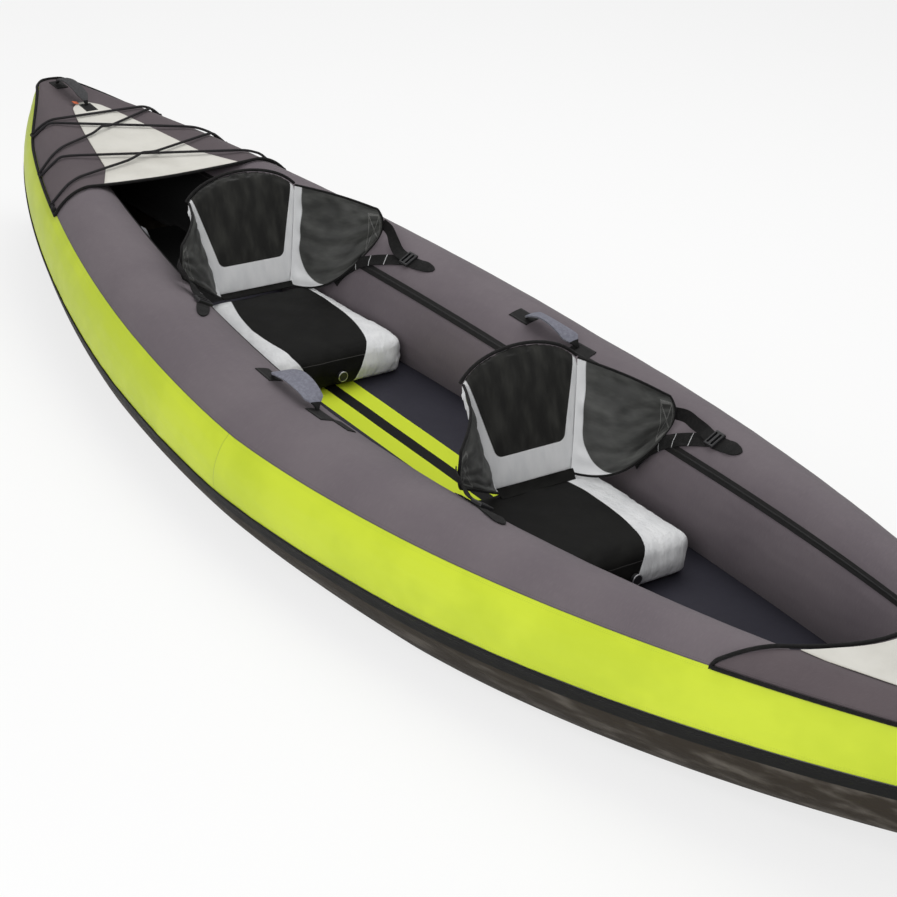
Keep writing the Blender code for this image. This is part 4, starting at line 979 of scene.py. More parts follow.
def makeKnot(name, centre):
    points = []
    for i in range(48):
        a = 2 * math.pi * i / 48
        r = 0.0026 + 0.0012 * math.cos(3 * a)
        turn = Vector((0.0019 * math.sin(3 * a) * 1.2, r * math.cos(2 * a) * 1.1, r * math.sin(2 * a)))
        points.append(centre + turn)
    cordPiece(name, points, 0.0024, braidedCord(), closed=True)


# Carry handles

handles = dict(arch=0.030, width=0.040, endGrip=0.027, twist=0.55, endWidth=0.007, thickness=0.0034,
               patchWidth=0.032, patchLift=0.0006, patch=0.0014, side=(-0.100, 0.062), sideReach=0.162,
               sideAngle=104.0, sidePatch=0.056, patchHold=0.016, tongue=(0.112, 0.156),
               tongueAngles=(107.5, 116.0), ends=(1.592, 1.440), endPatchWidth=0.030,
               blackEnd=0.012, blackTail=0.026, endBlackFrom=0.132, endSlope=0.9982,
               tipPatch=(0.028, 0.014), deckPatch=(0.030, 0.012), cup=0.0030, wave=0.0012)


def jointOf(name):
    return next(j for j in frame["joints"] if j["name"] == name)


def makeGrip(name, joint, length, material):
    start = Vector(joint["pos_m"])
    ahead = Vector(joint["axis"]).normalized()
    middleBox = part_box(name)
    rise = (middleBox[0] + middleBox[1]) / 2 - start
    up = (rise - ahead * rise.dot(ahead)).normalized()
    broad, spread, twist = handles["endGrip"], 2.2, 0.0
    if "port" in name or "starboard" in name:
        side = 1 if "port" in name else -1
        broad, spread, twist = handles["width"], 2.6, side * handles["twist"]
        angle = handles["sideAngle"]
        up = tubePoint(-0.02, side, angle, 1.0) - tubePoint(-0.02, side, angle, 0.0)
        up = (up - ahead * up.dot(ahead)).normalized()
    across = up.cross(ahead).normalized()

    def shape(u, v):
        t = 0.5 - 0.5 * math.cos(math.pi * u)
        share = math.sin(math.pi * t)
        c = 2 * v - 1
        height = handles["arch"] * share ** 0.6
        width = handles["endWidth"] + (broad - handles["endWidth"]) * min(1.0, share * spread) ** 1.2
        turned = across * math.cos(twist * share) - up * math.sin(twist * share)
        cup = handles["cup"] * share * c * c
        wave = handles["wave"] * share * ripple(Vector((u * 5, c, 0)), 0.8, 1.0)
        return start + ahead * (t * length) + turned * (c * width / 2) + up * (height - cup + wave)

    body = name.replace("_handle", "_grip")
    sheetPiece(name, shape, (length, handles["width"], 0.0), (44, 12), handles["thickness"], material,
               tuple(up), body=body, stands=(name,), offset=0.0)


def tubePatch(name, side, xRange, angles, material, tail=None):
    xEnd = tail[1] if tail else xRange[1]

    def shape(u, v):
        x = xRange[0] + (xEnd - xRange[0]) * u
        low, high = angles
        if tail:
            share = smoothStep((x - xRange[1]) / 0.006)
            low = low + (tail[2][0] - low) * share
            high = high + (tail[2][1] - high) * share
        angle = low + (high - low) * v
        corner = min(min(u, 1 - u) * (xEnd - xRange[0]), min(v, 1 - v) * handles["patchWidth"])
        pillow = 0.0008 * smoothStep(corner / 0.004)
        lift = hull["swell"] + handles["patchLift"] + handles["patch"] * 0.7 + pillow
        return tubePoint(x, side, angle, lift)

    sheetPiece(name, shape, (xEnd - xRange[0], handles["patchWidth"], 0.0), (36, 14), handles["patch"],
               material, awayFromTube(side), stands=(name,))


def deckPatch(name, sign, xRange, onPanel, material):
    base = (deck["panelLift"] + hull["wall"] if onPanel else 0.0) + 0.0016

    def shape(u, v):
        x = xRange[0] + (xRange[1] - xRange[0]) * u
        breadth = handles["endPatchWidth"] / 2
        if not onPanel:
            breadth = min(breadth, crownLine(sign * x)[0] + 0.010)
        y = breadth * (1 - 2 * v)
        return Vector((sign * x, y, deckHeight(sign * x, y, base + handles["patch"])))

    sheetPiece(name, shape, (xRange[1] - xRange[0], handles["endPatchWidth"], 0.0), (20, 14),
               handles["patch"], material, (0, 0, 1), stands=(name,))


def makeHandles():
    patchCloth = boxStitched()
    for side, word in sides:
        reach, hold = handles["sideReach"], handles["patchHold"]
        grip = webbing(word + "GripWebbing", colours["greyWebbing"], colours["greyWebbingDeep"], 0.0019,
                       endTone=colours["black"], ends=(handles["blackEnd"], reach - handles["blackTail"]))
        makeGrip(word + "_handle", jointOf(word + "_handle_swing"), reach, grip)
        spread = math.degrees(handles["patchWidth"] / 2 / section(0.0)[1])
        angles = (handles["sideAngle"] - spread, handles["sideAngle"] + spread)
        aft = (handles["side"][0] - handles["sidePatch"] + hold, handles["side"][0] + hold)
        fore = (handles["side"][1] - hold, handles["side"][1] + handles["sidePatch"] - hold)
        tubePatch(word + "_handle_patch_aft", side, aft, angles, patchCloth)
        tubePatch(word + "_handle_patch_fore", side, fore, angles, patchCloth,
                  (*handles["tongue"], handles["tongueAngles"]))
    tip, inner = handles["ends"]
    tipPatch, innerPatch = handles["tipPatch"], handles["deckPatch"]
    for sign, word in ((-1, "stern"), (1, "bow")):
        grip = webbing(word + "GripWebbing", colours["endWebbing"], colours["endWebbingDeep"], 0.0019,
                       endTone=colours["black"], ends=(handles["blackEnd"], handles["endBlackFrom"]))
        makeGrip(word + "_handle", jointOf(word + "_handle_swing"), (tip - inner) / handles["endSlope"], grip)
        deckPatch(word + "_handle_patch_tip", sign, (tip - tipPatch[0], tip + tipPatch[1]), False, patchCloth)
        deckPatch(word + "_handle_patch_deck", sign, (inner - innerPatch[0], inner + innerPatch[1]), True,
                  patchCloth)
    print("handles made")


def boxStitched():
    f = Finish("stitchedPatch", {"Specular IOR Level": 0.25})
    spot, u, v = f.cloth()
    base = f.mix(f.noise(spot, 90.0, 3), colours["black"], colours["blackDusty"])
    edge = v.least(handles["patchWidth"] - v)
    rows = stitchMask(u, edge, 0.0035, 0.0034, 0.0005)
    base = f.mix(rows * 0.8, base, colours["patchThread"])
    f.colour(base)
    f.roughness(0.6 + 0.2 * f.noise(spot, 60.0, 2))
    f.bump(rows, 0.6, 0.0004)
    f.bump(f.weave(u, v, 0.0014), 0.4, 0.0003)
    return f.material


# Seats

seat = dict(recline=18.6, cushion=(0.350, 0.330, 0.094), crowding=0.55, backHeight=0.268,
            bottomHalf=0.098, topHalf=0.145, backThickness=0.018, backEdge=0.005, crownDrop=0.034,
            wingThickness=0.0034, flare=(0.060, 0.150, 0.010), nearFlare=(0.034, 0.142, 0.030),
            wingFoot=0.006, wingTop=0.217, wingEnd=0.058, wingRound=0.014, wingCrown=0.010,
            wingFold=0.0058, strapWidth=0.025, strapThickness=0.0018, anchorBack=0.150, anchorLow=166.0,
            buckle=(0.026, 0.036, 0.007), binding=0.0034, cushionShrink=0.002, cushionHalf=0.188,
            cushionWaist=0.46, cushionGap=0.0012, wallRoom=0.0065, flapHalf=0.086, flapReach=0.022,
            flapTop=0.014, flapThickness=0.0016)
air = dict(cushion=dict(cap=0.004, pressure=4.0, voxel=0.006),
           back=dict(cap=0.0022, pressure=1.5, voxel=0.004))
wrinkle = dict(gather=0.0075, tight=0.0030, crease=0.0016, waistDraw=0.020, room=0.0045)
valve = dict(radius=0.010, stand=0.0088, height=0.038)
seatPlaces = dict(
    rear=dict(middle=-0.495, tip=(0.104, 0.250, 0.155), buckle=-0.452, buckleAngle=115.0, portEdge=0.112,
              starboardEdge=0.116, shift=0.0, frontReach=0.010, panelShift=-0.004,
              tabReach=dict(port=0.070, starboard=0.074), tabAngle=dict(port=111.0, starboard=99.0)),
    front=dict(middle=0.480, tip=(0.082, 0.250, 0.124), buckle=0.520, buckleAngle=115.0, portEdge=0.062,
               starboardEdge=0.180, shift=-0.028, frontReach=-0.014, panelShift=-0.010,
               tabReach=dict(port=0.070, starboard=0.092), tabAngle=dict(port=111.0, starboard=97.0)))


def cushionWaist():
    return seat["cushionWaist"] * seat["cushion"][2]


def cushionSwell(u, v):
    return (1 - max(abs(u), abs(v)) ** 6) ** 0.5


def cushionTop(u, v):
    waist = cushionWaist()
    crown = 0.006 * (1 - u * u) * (1 - v * v)
    return waist + 0.003 + (seat["cushion"][2] - waist - 0.009) * cushionSwell(u, v) + crown


def cushionPlan(u, v):
    x = math.copysign(abs(u) ** seat["crowding"], u)
    y = math.copysign(abs(v) ** seat["crowding"], v)
    corner = 1 - 0.10 * min(abs(x), abs(y)) ** 6 * max(abs(x), abs(y)) ** 6
    return x * corner, y * corner


def cushionSide(x, way, spec):
    # how far a cushion reaches to one side: to its own size, or to the side tube
    outer, halfWidth, _, _ = section(x)
    return min(seat["cushionHalf"] + way * spec["shift"], outer - 2 * halfWidth - seat["wallRoom"])


def inflate(obj, cap, pressure, voxel):
    # the cover is blown up a little by cloth simulation, with its movement held to the cap
    clean()
    obj.select_set(True)
    bpy.context.view_layer.objects.active = obj
    remesh = obj.modifiers.new("even", "REMESH")
    remesh.mode = "VOXEL"
    remesh.voxel_size = voxel
    applyAll(obj)
    before = [v.co.copy() for v in obj.data.vertices]
    cloth = obj.modifiers.new("air", "CLOTH")
    cloth.settings.use_pressure = True
    cloth.settings.uniform_pressure_force = pressure
    cloth.settings.effector_weights.gravity = 0.0
    cloth.settings.quality = 5
    cloth.point_cache.frame_start = 1
    cloth.point_cache.frame_end = 20
    scene = bpy.context.scene
    for number in range(1, 21):
        scene.frame_set(number)
    applyAll(obj)
    for vertex, start in zip(obj.data.vertices, before):
        move = vertex.co - start
        if move.length > cap:
            vertex.co = start + move * (cap / move.length)
    scene.frame_set(1)


def shellPiece(name, surfaces, steps):
    # two faces, each set on its own surface, joined and closed round their edges
    faces = []
    for surface in surfaces:
        clean()
        bpy.ops.mesh.primitive_grid_add(x_subdivisions=steps[0], y_subdivisions=steps[1], size=2.0)
        for vertex in bpy.context.object.data.vertices:
            vertex.co = surface(vertex.co.x, vertex.co.y)
        faces.append(bpy.context.object)
    faces[1].data.flip_normals()
    faces[0].select_set(True)
    bpy.ops.object.join()
    obj = bpy.context.object
    obj.name = name
    bpy.ops.object.mode_set(mode="EDIT")
    bpy.ops.mesh.select_all(action="DESELECT")
    bpy.ops.mesh.select_mode(type="EDGE")
    bpy.ops.mesh.select_non_manifold()
    bpy.ops.mesh.bridge_edge_loops()
    bpy.ops.mesh.select_all(action="SELECT")
    bpy.ops.mesh.normals_make_consistent(inside=False)
    bpy.ops.object.mode_set(mode="OBJECT")
    return obj


def roundOff(obj):
    smooth = obj.modifiers.new("round", "SUBSURF")
    smooth.levels = smooth.render_levels = 1
    applyAll(obj)


def makeCushion(word, spec):
    waist = cushionWaist()
    length = seat["cushion"][0] - 2 * seat["cushionShrink"]

    def place(u, v):
        x, y = cushionPlan(u, v)
        px = spec["middle"] + x * length / 2 + spec["frontReach"] * (1 + x) / 2
        return px, y * (cushionSide(px, math.copysign(1.0, y), spec) - seat["cushionShrink"])

    def upper(u, v):
        px, py = place(u, v)
        return Vector((px, py, floorTop(px) + seat["cushionGap"] + cushionTop(u, v) - 0.002))

    def lower(u, v):
        px, py = place(u, v)
        rise = (waist - 0.006) * (1 - cushionSwell(u, v))
        return Vector((px, py, floorTop(px) + seat["cushionGap"] + rise))

    obj = shellPiece(word + "_cushion", (upper, lower), (28, 28))
    inflate(obj, **air["cushion"])
    roundOff(obj)
    low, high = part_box(word + "_cushion")
    seed = 4.0 if word == "rear" else 8.0
    for vertex in obj.data.vertices:
        p = vertex.co
        base = floorTop(p.x) + 0.0008
        height = p.z - base
        breadth = cushionSide(p.x, math.copysign(1.0, p.y), spec)
        side = smoothStep((abs(p.y) - 0.085) / 0.05)
        gather = side * smoothStep(height / 0.03) * smoothStep((0.096 - height) / 0.03)
        fold = wrinkle["gather"] * ripple(Vector((p.x, p.y * 0.4, p.z * 0.30)), 0.017, seed)
        p.y += math.copysign(1.0, p.y) * (fold - wrinkle["tight"]) * gather
        front = smoothStep((p.x - spec["middle"] - 0.12) / 0.05)
        crease = wrinkle["crease"] * ripple(Vector((p.x, p.y, 0)), 0.05, 2.0) * (1 - side)
        p.z += crease * smoothStep((height - 0.06) / 0.02)
        p.x += wrinkle["crease"] * front * ripple(Vector((p.y, p.z, 0)), 0.03, 6.0)
        outward = max(abs(p.y) / breadth, abs(p.x - spec["middle"]) / 0.180)
        drawnIn = math.exp(-((height - waist) / 0.007) ** 2) * smoothStep((outward - 0.80) / 0.15)
        p.y *= 1 - wrinkle["waistDraw"] * drawnIn
        p.z = max(p.z, base)
        p.x = min(max(p.x, low.x - 0.004), high.x + spec["frontReach"] + 0.002)
        p.y = min(max(p.y, -breadth - wrinkle["room"]), breadth + wrinkle["room"])
    dress(obj, cushionCloth(word, spec), "hull", (word + "_cushion",), 180.0)


def cushionCloth(word, spec):
    # black top and front, satin white sides; the black part narrows towards the floor on the front
    f = Finish(word + "CushionCloth", {"Sheen Weight": 0.02, "Specular IOR Level": 0.12})
    spot = f.place()
    x, y, z = f.axes(spot)
    along = x - spec["middle"]
    height = z - floorTop(spec["middle"])
    away = abs(y)
    toPort = y.over(0.0)
    portEdge = spec["portEdge"] - 0.9 * (along + 0.04) * (along + 0.04)
    starboardEdge = spec["starboardEdge"] - 1.1 * (along - 0.05) * (along - 0.05)
    drop = (0.088 - height).most(0.0)
    limit = portEdge * toPort + starboardEdge * (1 - toPort) - drop * 0.42
    blackPart = away.under(limit)
    cloud = f.noise(spot, 22.0, 4)
    white = f.mix(cloud.rise(0.3, 0.8), colours["white"], colours["whiteDeep"])
    black = f.mix(cloud.rise(0.35, 0.8), colours["pad"], colours["padDusty"])
    seamLine = 1 - abs(away - limit).rise(0.0, 0.0016)
    base = f.mix(blackPart, white, black)
    base = f.mix(seamLine * 0.5 * (1 - blackPart), base, colours["cushionSeam"])
    frontSeam = (1 - abs(height - 0.070).rise(0.0, 0.0012)) * along.over(0.12) * blackPart
    base = f.mix(frontSeam * 0.6, base, colours["frontSeam"])
    f.colour(base)
    f.roughness((0.42 + 0.12 * cloud) * (1 - blackPart) + (0.60 + 0.15 * cloud) * blackPart)
    f.bump(seamLine * -1.0, 0.5, 0.0016)
    f.bump(frontSeam * -1.0, 0.6, 0.0012)
    f.bump(f.noise(spot, 26.0, 4, (1.6, 1.8, 0.6)) * (1 - blackPart), 0.8, 0.007)
    f.bump(f.noise(spot, 18.0, 3), 0.16, 0.006)
    f.bump(f.weave(x, y + z, 0.0012), 0.20, 0.0002)
    return f.material


def hingePoint(word):
    return Vector(jointOf(word + "_backrest_fold")["pos_m"])


def backHalf(v):
    share = max(0.0, v / seat["backHeight"])
    return seat["bottomHalf"] + (seat["topHalf"] - seat["bottomHalf"]) * min(1.0, share / 0.82) ** 0.9


def lean(p):
    return Matrix.Rotation(-math.radians(seat["recline"]), 3, "Y") @ Vector(p)


def backTop(c):
    return seat["backHeight"] - seat["crownDrop"] * c * c - 0.012 * c ** 6


def makeBackPanel(word, hinge):
    def backFace(way):
        def surface(c, height):
            share = (height + 1) / 2
            v = 0.004 + (backTop(c) - 0.007) * share
            width = backHalf(v) - 0.003
            if share > 0.9:
                width -= 0.010 * (share - 0.9) / 0.1
            edge = max(abs(c), abs(2 * share - 1))
            filling = (seat["backThickness"] - seat["backEdge"]) / 2 * (1 - edge ** 5) * 0.8
            return Vector((way * (seat["backEdge"] / 2 + filling) * 0.92, c * width, v))
        return surface

    obj = shellPiece(word + "_back_panel", (backFace(1), backFace(-1)), (28, 36))
    inflate(obj, **air["back"])
    roundOff(obj)
    layer = obj.data.uv_layers.new(name="UVMap") if not obj.data.uv_layers else obj.data.uv_layers[0]
    seed = 3.0 if word == "rear" else 12.0
    for vertex in obj.data.vertices:
        p = vertex.co
        inside = smoothStep((backHalf(p.z) - abs(p.y)) / 0.03)
        inside *= smoothStep((backTop(p.y / 0.13) - p.z) / 0.03)
        p.x += 0.0012 * inside * ripple(Vector((p.y, p.z * 0.4, 0)), 0.04, seed) * (1 if p.x > 0 else -1)
    for loop in obj.data.loops:
        p = obj.data.vertices[loop.vertex_index].co
        layer.data[loop.index].uv = (p.y, p.z)
    for vertex in obj.data.vertices:
        vertex.co = hinge + lean(vertex.co) + Vector((0, seatPlaces[word]["panelShift"], 0))
    dress(obj, backCloth(word), word + "_backrest", (word + "_back_panel",), 180.0)


def backCloth(word):
    # black coated middle, white trim at its sides and foot, a black strip at the bottom seam
    f = Finish(word + "BackCloth", {"Coat Weight": 0.04, "Coat Roughness": 0.35, "Specular IOR Level": 0.25})
    spot, u, v = f.cloth()
    away = abs(u)
    limit = 0.0785 + (v - 0.070) * 0.29
    corner = 0.012
    dx = (away - limit + corner).most(0.0)
    dy = (0.070 + corner - v).most(0.0)
    outside = ((dx * dx + dy * dy) ** 0.5) - corner
    blackPart = 1 - outside.rise(-0.0004, 0.0004)
    cloud = f.noise(f.joinAxes(u * 3.0, v), 14.0, 4)
    sheen = f.noise(f.joinAxes(u * 2.2, v * 0.8), 16.0, 2)
    black = f.mix(sheen.rise(0.35, 0.8), colours["backPanel"], colours["backPanelLight"])
    white = f.mix(cloud.rise(0.3, 0.8), colours["white"], colours["whiteDeep"])
    base = f.mix(blackPart, white, black)
    seamLine = 1 - abs(outside).rise(0.0, 0.0014)
    base = f.mix(seamLine * 0.45, base, colours["backSeam"])
    foot = v.under(0.013)
    base = f.mix(foot, base, colours["black"])
    x, _, z = f.axes(spot)
    hinge, turn = hingePoint(word), math.radians(seat["recline"])
    behind = ((x - hinge.x) * math.cos(turn) + (z - hinge.z) * math.sin(turn)).under(0.0)
    base = f.mix(behind, base, colours["backPanel"])
    f.colour(base)
    f.roughness(0.30 * blackPart + 0.42 * (1 - blackPart) + 0.16 * sheen)
    f.bump(seamLine * -1.0, 0.7, 0.0020)
    f.bump(f.noise(f.joinAxes(u * 2.6, v * 0.9), 17.0, 3), 0.25, 0.006)
    f.bump(stitchMask(v + u, abs(outside + 0.004), 0.0, 0.0036, 0.0005), 0.5, 0.0004)
    f.bump(f.weave(u, v, 0.0012), 0.12, 0.0002)
    return f.material


def wingSurface(side, spec, t, s):
    # t runs out from the panel's edge to the strap, s up from the foot; the inner edge lies on the panel
    shift = Vector((0.0, spec["panelShift"] * (1 - t), 0.0))
    up = seat["wingFoot"] + (seat["wingTop"] - seat["wingFoot"]) * s
    inner = lean((0.0066, side * (backHalf(up) - 0.0120), up))
    tip = Vector((spec["tip"][0], side * spec["tip"][1], spec["tip"][2]))
    outward = (tip - inner).normalized()
    strapEnd = tip + Vector((0, 0, seat["wingEnd"] * (s - 0.5)))
    strapEnd -= outward * (seat["wingRound"] * abs(2 * s - 1) ** 3)
    flare = seat["flare"] if side > 0 else seat["nearFlare"]
    flare = Vector((flare[0], side * flare[1], flare[2]))
    point = inner.lerp(strapEnd, t)
    pull = (1 - s) ** 2 * math.sin(math.pi * t) ** 0.9
    foot = Vector((flare.x, flare.y, flare.z + 0.012)) - inner.lerp(strapEnd, 0.5)
    bulge = Vector((0.016 * math.sin(math.pi * t), -side * 0.006 * math.sin(math.pi * t), 0.0))
    crown = Vector((0.0, 0.0, seat["wingCrown"] * math.sin(math.pi * t) * s ** 3))
    return point + foot * pull * 0.85 + bulge + crown + shift


def followStrap(piece, word, side):
    # cloth and webbing between the backrest, which folds, and the buckle on the tube, which stays; here the
    # piece's transform is only baked into its mesh, and it is attached to neither
    spec = seatPlaces[word]
    start = hingePoint(word) + lean((0.0, side * 0.135, 0.11))
    end = surfaceFrame(spec["buckle"] - seat["buckle"][0] / 2, side, spec["buckleAngle"], 0.005)[0]
    tuple(end)
    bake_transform(piece)


def makeWing(word, side, sideWord, hinge, spec, material):
    seed = side * 5.0 + (2.0 if word == "rear" else 7.0)

    def shape(u, v):
        p = wingSurface(side, spec, u, v)
        before, after = max(0.0, u - 0.01), min(1.0, u + 0.01)
        below, above = max(0.0, v - 0.01), min(1.0, v + 0.01)
        ahead = wingSurface(side, spec, after, v) - wingSurface(side, spec, before, v)
        up = wingSurface(side, spec, u, above) - wingSurface(side, spec, u, below)
        normal = ahead.cross(up).normalized()
        hold = smoothStep(u / 0.10) * smoothStep((1 - u) / 0.12) * smoothStep(min(v, 1 - v) / 0.10)
        fold = ripple(Vector((u * 0.9, v * 3.2, 0)), 0.55, seed)
        fold += 0.5 * ripple(Vector((u * 3.0, v * 4.0, 0)), 0.45, seed + 4)
        return hinge + p + normal * seat["wingFold"] * fold * hold

    sheetPiece(word + "_wing_" + sideWord, shape, (1.0, 1.0, 0.0), (60, 44), seat["wingThickness"], material,
               (1, 0, 0), body=None, stands=(word + "_wing_" + sideWord,), offset=0.0)
    followStrap(bpy.context.object, word, side)
    rim = [wingSurface(side, spec, t / 24, 1.0) for t in range(25)]
    rim += [wingSurface(side, spec, 1.0, 1 - s / 10) for s in range(1, 11)]
    rim += [wingSurface(side, spec, 1 - t / 24, 0.0) for t in range(1, 25)]
    return [hinge + p for p in rim]


def wingCloth(word, sideWord):
    f = Finish(word + "WingCloth" + sideWord, {"Sheen Weight": 0.03, "Specular IOR Level": 0.3})
    spot, u, v = f.cloth()
    cloud = f.noise(f.joinAxes(u * 1.2, v * 3.0), 3.0, 4)
    base = f.mix(cloud.rise(0.3, 0.8), colours["wing"], colours["wingLight"])
    limit = 0.085 + 0.36 * ((0.42 - v) * 2.4).most(0.0) ** 2.2
    whitePart = u.under(limit)
    white = f.mix(f.noise(spot, 30.0, 3), colours["white"], colours["whiteDeep"])
    base = f.mix(whitePart, base, white)
    seamLine = 1 - abs(u - limit).rise(0.0, 0.010)
    base = f.mix(seamLine * 0.4 * whitePart, base, colours["wingSeam"])
    cu, cv = (u - 0.905) / 0.075, (v - 0.5) / 0.40
    box = (abs(abs(cu).most(abs(cv)) - 0.85)).under(0.06)
    cross = (abs(abs(cu) - abs(cv))).under(0.07) * abs(cu).under(0.85)
    sewn = box.most(cross) * ((u * 150.0).part().under(0.65))
    base = f.mix(sewn * 0.8, base, colours["thread"])
    f.colour(base)
    f.roughness(0.44 + 0.2 * cloud)
    f.bump(seamLine, 0.5, 0.001)
    f.bump(sewn, 0.6, 0.0005)
    f.bump(f.noise(spot, 9.0, 2), 0.25, 0.008)
    f.bump(f.weave(u * 0.2, v * 0.18, 0.0016), 0.15, 0.0003)
    return f.material


def strapPiece(name, centre, across, out, material):
    # flat webbing along a centre line, with its direction across and outward at each point
    count = len(centre) - 1
    length = sum((b - a).length for a, b in zip(centre, centre[1:]))

    def shape(u, v):
        i = round(u * count)
        edge = abs(2 * v - 1)
        crown = seat["strapThickness"] / 2 * (1 - 0.25 * edge ** 6)
        return centre[i] + across[i] * ((v - 0.5) * seat["strapWidth"]) + out[i] * crown

    middle = out[count // 2]
    return sheetPiece(name, shape, (length, seat["strapWidth"], 0.0), (count, 8), seat["strapThickness"],
                      material, tuple(middle), body=None, stands=(name,))


def surfaceFrame(x, side, angle, lift):
    origin = tubePoint(x, side, angle, lift)
    ahead = (tubePoint(x + 0.03, side, angle, lift) - tubePoint(x - 0.03, side, angle, lift)).normalized()
    around = tubePoint(x, side, angle + 4.0, lift) - tubePoint(x, side, angle - 4.0, lift)
    return origin, (around.cross(ahead) * side).normalized(), ahead


def makeAnchorStrap(word, side, sideWord, spec, material):
    steps = 90
    bucklePart = 0.72       # how far along its length the strap meets the buckle
    start = (spec["buckle"] - seat["anchorBack"], seat["anchorLow"])
    end = (spec["buckle"] + spec["tabReach"][sideWord], spec["tabAngle"][sideWord])
    line = []
    for i in range(steps + 1):
        t = i / steps
        if t < bucklePart:
            share = t / bucklePart
            x = start[0] + (spec["buckle"] - start[0]) * (0.35 * share + 0.65 * share * share)
            angle = start[1] + (spec["buckleAngle"] + 1.0 - start[1]) * (1.15 * share - 0.15 * share * share)
        else:
            share = (t - bucklePart) / (1 - bucklePart)
            x = spec["buckle"] + (end[0] - spec["buckle"]) * share
            angle = spec["buckleAngle"] + 1.0 + (end[1] - spec["buckleAngle"] - 1.0) * share
        line.append((x, angle))
    radius = section(spec["buckle"])[1]
    looseFrom = 0.78

    def shape(u, v):
        i = round(u * steps)
        x, angle = line[i]
        before, after = line[max(0, i - 1)], line[min(steps, i + 1)]
        dx, da = after[0] - before[0], math.radians(after[1] - before[1]) * radius
        size = math.hypot(dx, da)
        left = (steps - i) / steps * 18
        halfWidth = seat["strapWidth"] / 2 * (1.12 if left < 5 else 1.0)
        if left < 2.4:
            halfWidth *= max(0.05, 1 - (1 - left / 2.4) ** 2) ** 0.5
        c = (2 * v - 1) * halfWidth
        placeX = x - da / size * c
        placeA = angle + math.degrees(dx / size * c / radius)
        away = abs(placeA - hull["zipAngle"])
        lift = 0.0012 + 0.0022 * (1 - smoothStep((away - 5.0) / 4.5))
        bend = 0.0016 * max(0.0, math.sin(u * 30)) if u > looseFrom else 0.0
        return tubePoint(placeX, side, placeA, lift + hull["swell"] + seat["strapThickness"] + bend)

    name = word + "_anchor_strap_" + sideWord
    sheetPiece(name, shape, (0.24, seat["strapWidth"], 0.0), (steps, 8), seat["strapThickness"], material,
               awayFromTube(side), stands=(name,))


def makeUpperStrap(word, side, sideWord, hinge, spec, material):
    tip = spec["tip"]
    start = hinge + Vector((tip[0] - 0.004, side * (tip[1] + 0.0045), tip[2]))
    lift = 0.0008 + seat["strapThickness"] + 0.0009 + seat["buckle"][2] / 2
    endX = spec["buckle"] - seat["buckle"][0] / 2 - 0.0006
    end, normal, ahead = surfaceFrame(endX, side, spec["buckleAngle"], lift)
    near = surfaceFrame(endX - 0.022, side, spec["buckleAngle"] - 1.0, lift + 0.0035)[0]
    first = near - start
    path = smoothPath([start, start + first * 0.34 + Vector((0.0, side * 0.004, 0.004)),
                       start + first * 0.70 + Vector((0, 0, 0.003)), near, end], 8)
    across, out = [], []
    startAcross = Vector((0.0, 0.0, 1.0))
    endAcross = normal.cross(ahead)
    if endAcross.dot(startAcross) < 0:
        endAcross = -endAcross
    for i in range(len(path)):
        tangent = (path[min(i + 1, len(path) - 1)] - path[max(i - 1, 0)]).normalized()
        way = startAcross.lerp(endAcross, min(1.0, i / (len(path) - 1) * 1.15))
        way = (way - tangent * way.dot(tangent)).normalized()
        across.append(way)
        out.append(tangent.cross(way).normalized())
    strap = strapPiece(word + "_upper_strap_" + sideWord, path, across, out, material)
    followStrap(strap, word, side)


def makeFlap(word, hinge, spec):
    # the black cloth that joins the cushion's top to the foot of the back panel
    f = Finish(word + "FlapCloth", {"Specular IOR Level": 0.12})
    spot = f.place()
    cloud = f.noise(spot, 24.0, 3)
    f.colour(f.mix(cloud.rise(0.35, 0.8), colours["pad"], colours["padDusty"]))
    f.roughness(0.55 + 0.18 * cloud)
    f.bump(f.noise(spot, 40.0, 3), 0.4, 0.003)
    foot = hinge.x + seat["flapReach"]
    low = Vector((foot, 0.0, floorTop(foot) + seat["cushion"][2] + 0.0022))
    high = hinge + lean((0.0102, 0.0, seat["flapTop"]))
    bend = Vector((hinge.x + 0.013, 0.0, hinge.z + 0.0065))

    def shape(u, v):
        y = seat["flapHalf"] * (2 * u - 1) * (1 + 0.06 * v) + spec["panelShift"]
        p = low * (1 - v) ** 2 + bend * 2 * v * (1 - v) + high * v * v
        pucker = 0.0013 * ripple(Vector((y, v * 0.02, 0)), 0.022, 3.0) * math.sin(math.pi * v)
        return Vector((p.x + pucker, y, p.z + pucker))

    flap = sheetPiece(word + "JoiningFlap", shape, (0.18, 0.04, 0.0), (48, 10), seat["flapThickness"],
                      f.material, (1, 0, 1), body=None)
    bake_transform(flap)


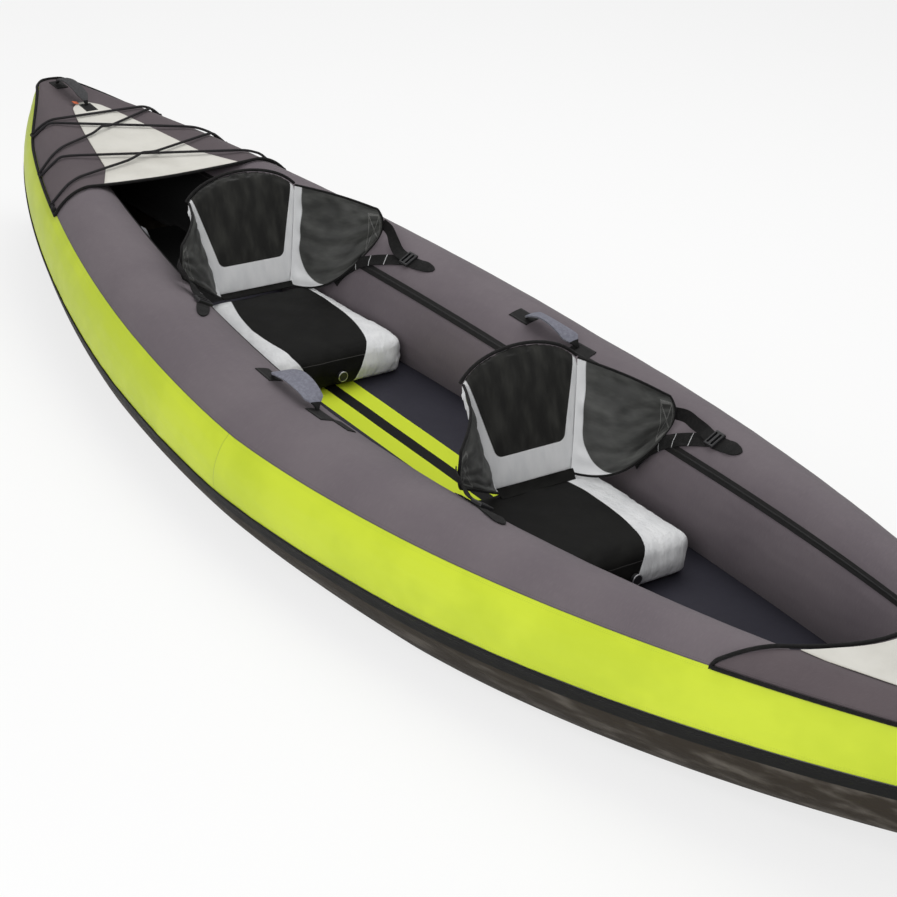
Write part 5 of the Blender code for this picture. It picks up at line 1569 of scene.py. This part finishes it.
def makeValve(word, spec):
    # the small valve on the cushion's front: a knurled cap in a metal ring
    front = spec["middle"] + seat["cushion"][0] / 2 + spec["frontReach"]
    spot = Vector((front, 0.0, floorTop(front) + valve["height"]))
    clean()
    bpy.ops.mesh.primitive_cylinder_add(vertices=48, radius=valve["radius"], depth=valve["stand"],
                                        location=spot, rotation=(0, math.radians(90), 0))
    cap = bpy.context.object
    cap.name = word + "ValveCap"
    bpy.ops.object.transform_apply(location=True, rotation=True, scale=True)
    bpy.ops.object.mode_set(mode="EDIT")
    bpy.ops.mesh.select_all(action="DESELECT")
    bpy.ops.object.mode_set(mode="OBJECT")
    for face in cap.data.polygons:
        face.select = face.normal.x > 0.9
    bpy.ops.object.mode_set(mode="EDIT")
    bpy.ops.mesh.inset(thickness=0.0022)
    bpy.ops.transform.translate(value=(0.0012, 0, 0))
    bpy.ops.mesh.inset(thickness=0.0030)
    bpy.ops.transform.translate(value=(-0.0010, 0, 0))
    bpy.ops.object.mode_set(mode="OBJECT")
    edge = cap.modifiers.new("edge", "BEVEL")
    edge.width = 0.0004
    edge.segments = 2
    applyAll(cap)
    dress(cap, mouldedPlastic(word + "ValvePlastic", colours["plastic"]), "hull", (), 40.0)
    clean()
    bpy.ops.mesh.primitive_torus_add(major_radius=valve["radius"] + 0.0004, minor_radius=0.0012,
                                     major_segments=48, minor_segments=12,
                                     location=spot + Vector((valve["stand"] / 2 - 0.0006, 0, 0)),
                                     rotation=(0, math.radians(90), 0))
    ring = bpy.context.object
    ring.name = word + "ValveRing"
    bpy.ops.object.transform_apply(location=True, rotation=True, scale=True)
    f = Finish(word + "RingMetal", {"Metallic": 0.85})
    grain = f.noise(f.place(), 300.0, 2)
    f.colour(f.mix(grain, colours["ring"], colours["ringDark"]))
    f.roughness(0.24 + 0.15 * grain)
    dress(ring, f.material, "hull", (), 60.0)


def makeSeats():
    bindingCloth = webbing("bindingTape", colours["blackDusty"], colours["black"], 0.0014)
    strapCloth = webbing("strapWebbing", colours["blackDusty"], colours["black"], 0.0017)
    ladder = webbing("ladderWebbing", colours["blackDusty"], colours["black"], 0.0017, 0.030, 0.050, 0.150)
    for word, spec in seatPlaces.items():
        hinge = hingePoint(word)
        makeCushion(word, spec)
        makeBackPanel(word, hinge)
        makeFlap(word, hinge, spec)
        outline = []
        for i in range(29):
            c = 1 - i / 14
            v = backTop(c) - 0.0015
            outline.append(Vector((0.0, c * (backHalf(v) - 0.010), v)))
        path = smoothPath([hinge + lean(p) + Vector((0, spec["panelShift"], 0)) for p in outline], 2)
        cordPiece(word + "BackBinding", path, seat["binding"], bindingCloth, body=word + "_backrest")
        for side, sideWord in sides:
            rim = makeWing(word, side, sideWord, hinge, spec, wingCloth(word, sideWord))
            binding = cordPiece(word + "WingBinding" + sideWord, smoothPath(rim, 2), seat["binding"] * 0.8,
                                bindingCloth, body=None)
            followStrap(binding, word, side)
            makeUpperStrap(word, side, sideWord, hinge, spec, strapCloth)
            makeAnchorStrap(word, side, sideWord, spec, ladder)
        makeValve(word, spec)
        print(word + " seat made")


tag = dict(x=-1.452, y=-0.014, length=0.014, breadth=0.012, lift=0.0075, tilt=0.002, thickness=0.0008)


def makeTag():
    f = Finish("orangeTag", {})
    speck = f.noise(f.place(), 200.0, 2)
    f.colour(f.mix(speck, colours["tag"], colours["tagDeep"]))
    f.roughness(0.5 + 0.1 * speck)

    def shape(u, v):
        x = tag["x"] - tag["length"] * u
        y = tag["y"] - tag["breadth"] * v
        return Vector((x, y, deckHeight(x, y, tag["lift"] + tag["tilt"] * v)))

    sheetPiece("handleTag", shape, (tag["length"], tag["breadth"], 0.0), (8, 8), tag["thickness"], f.material,
               (0, 0, 1))


def paintNodes():
    # CAD nodes that stay: a finish for each
    film = bladderFilm()
    dark = mouldedPlastic("darkPlastic", colours["plastic"])
    grey = mouldedPlastic("valvePlastic", colours["valve"])
    for name, node in frame["nodes"].items():
        if "bladder" in name:
            paint = film
        elif "buckle" in name:
            paint = dark
        elif "valve" in name:
            paint = grey
        else:
            continue
        node.data.materials.clear()
        node.data.materials.append(paint)


setCamera()
setStage()
makeSkins()
makeBottom()
makeZips()
makeFloor()
makeDecks()
pipingCloth = webbing("pipingCloth", colours["blackDusty"], colours["black"], 0.0015)
makeTrims(pipingCloth)
makeDeckCord(pipingCloth)
makeHandles()
makeTag()
makeSeats()
paintNodes()
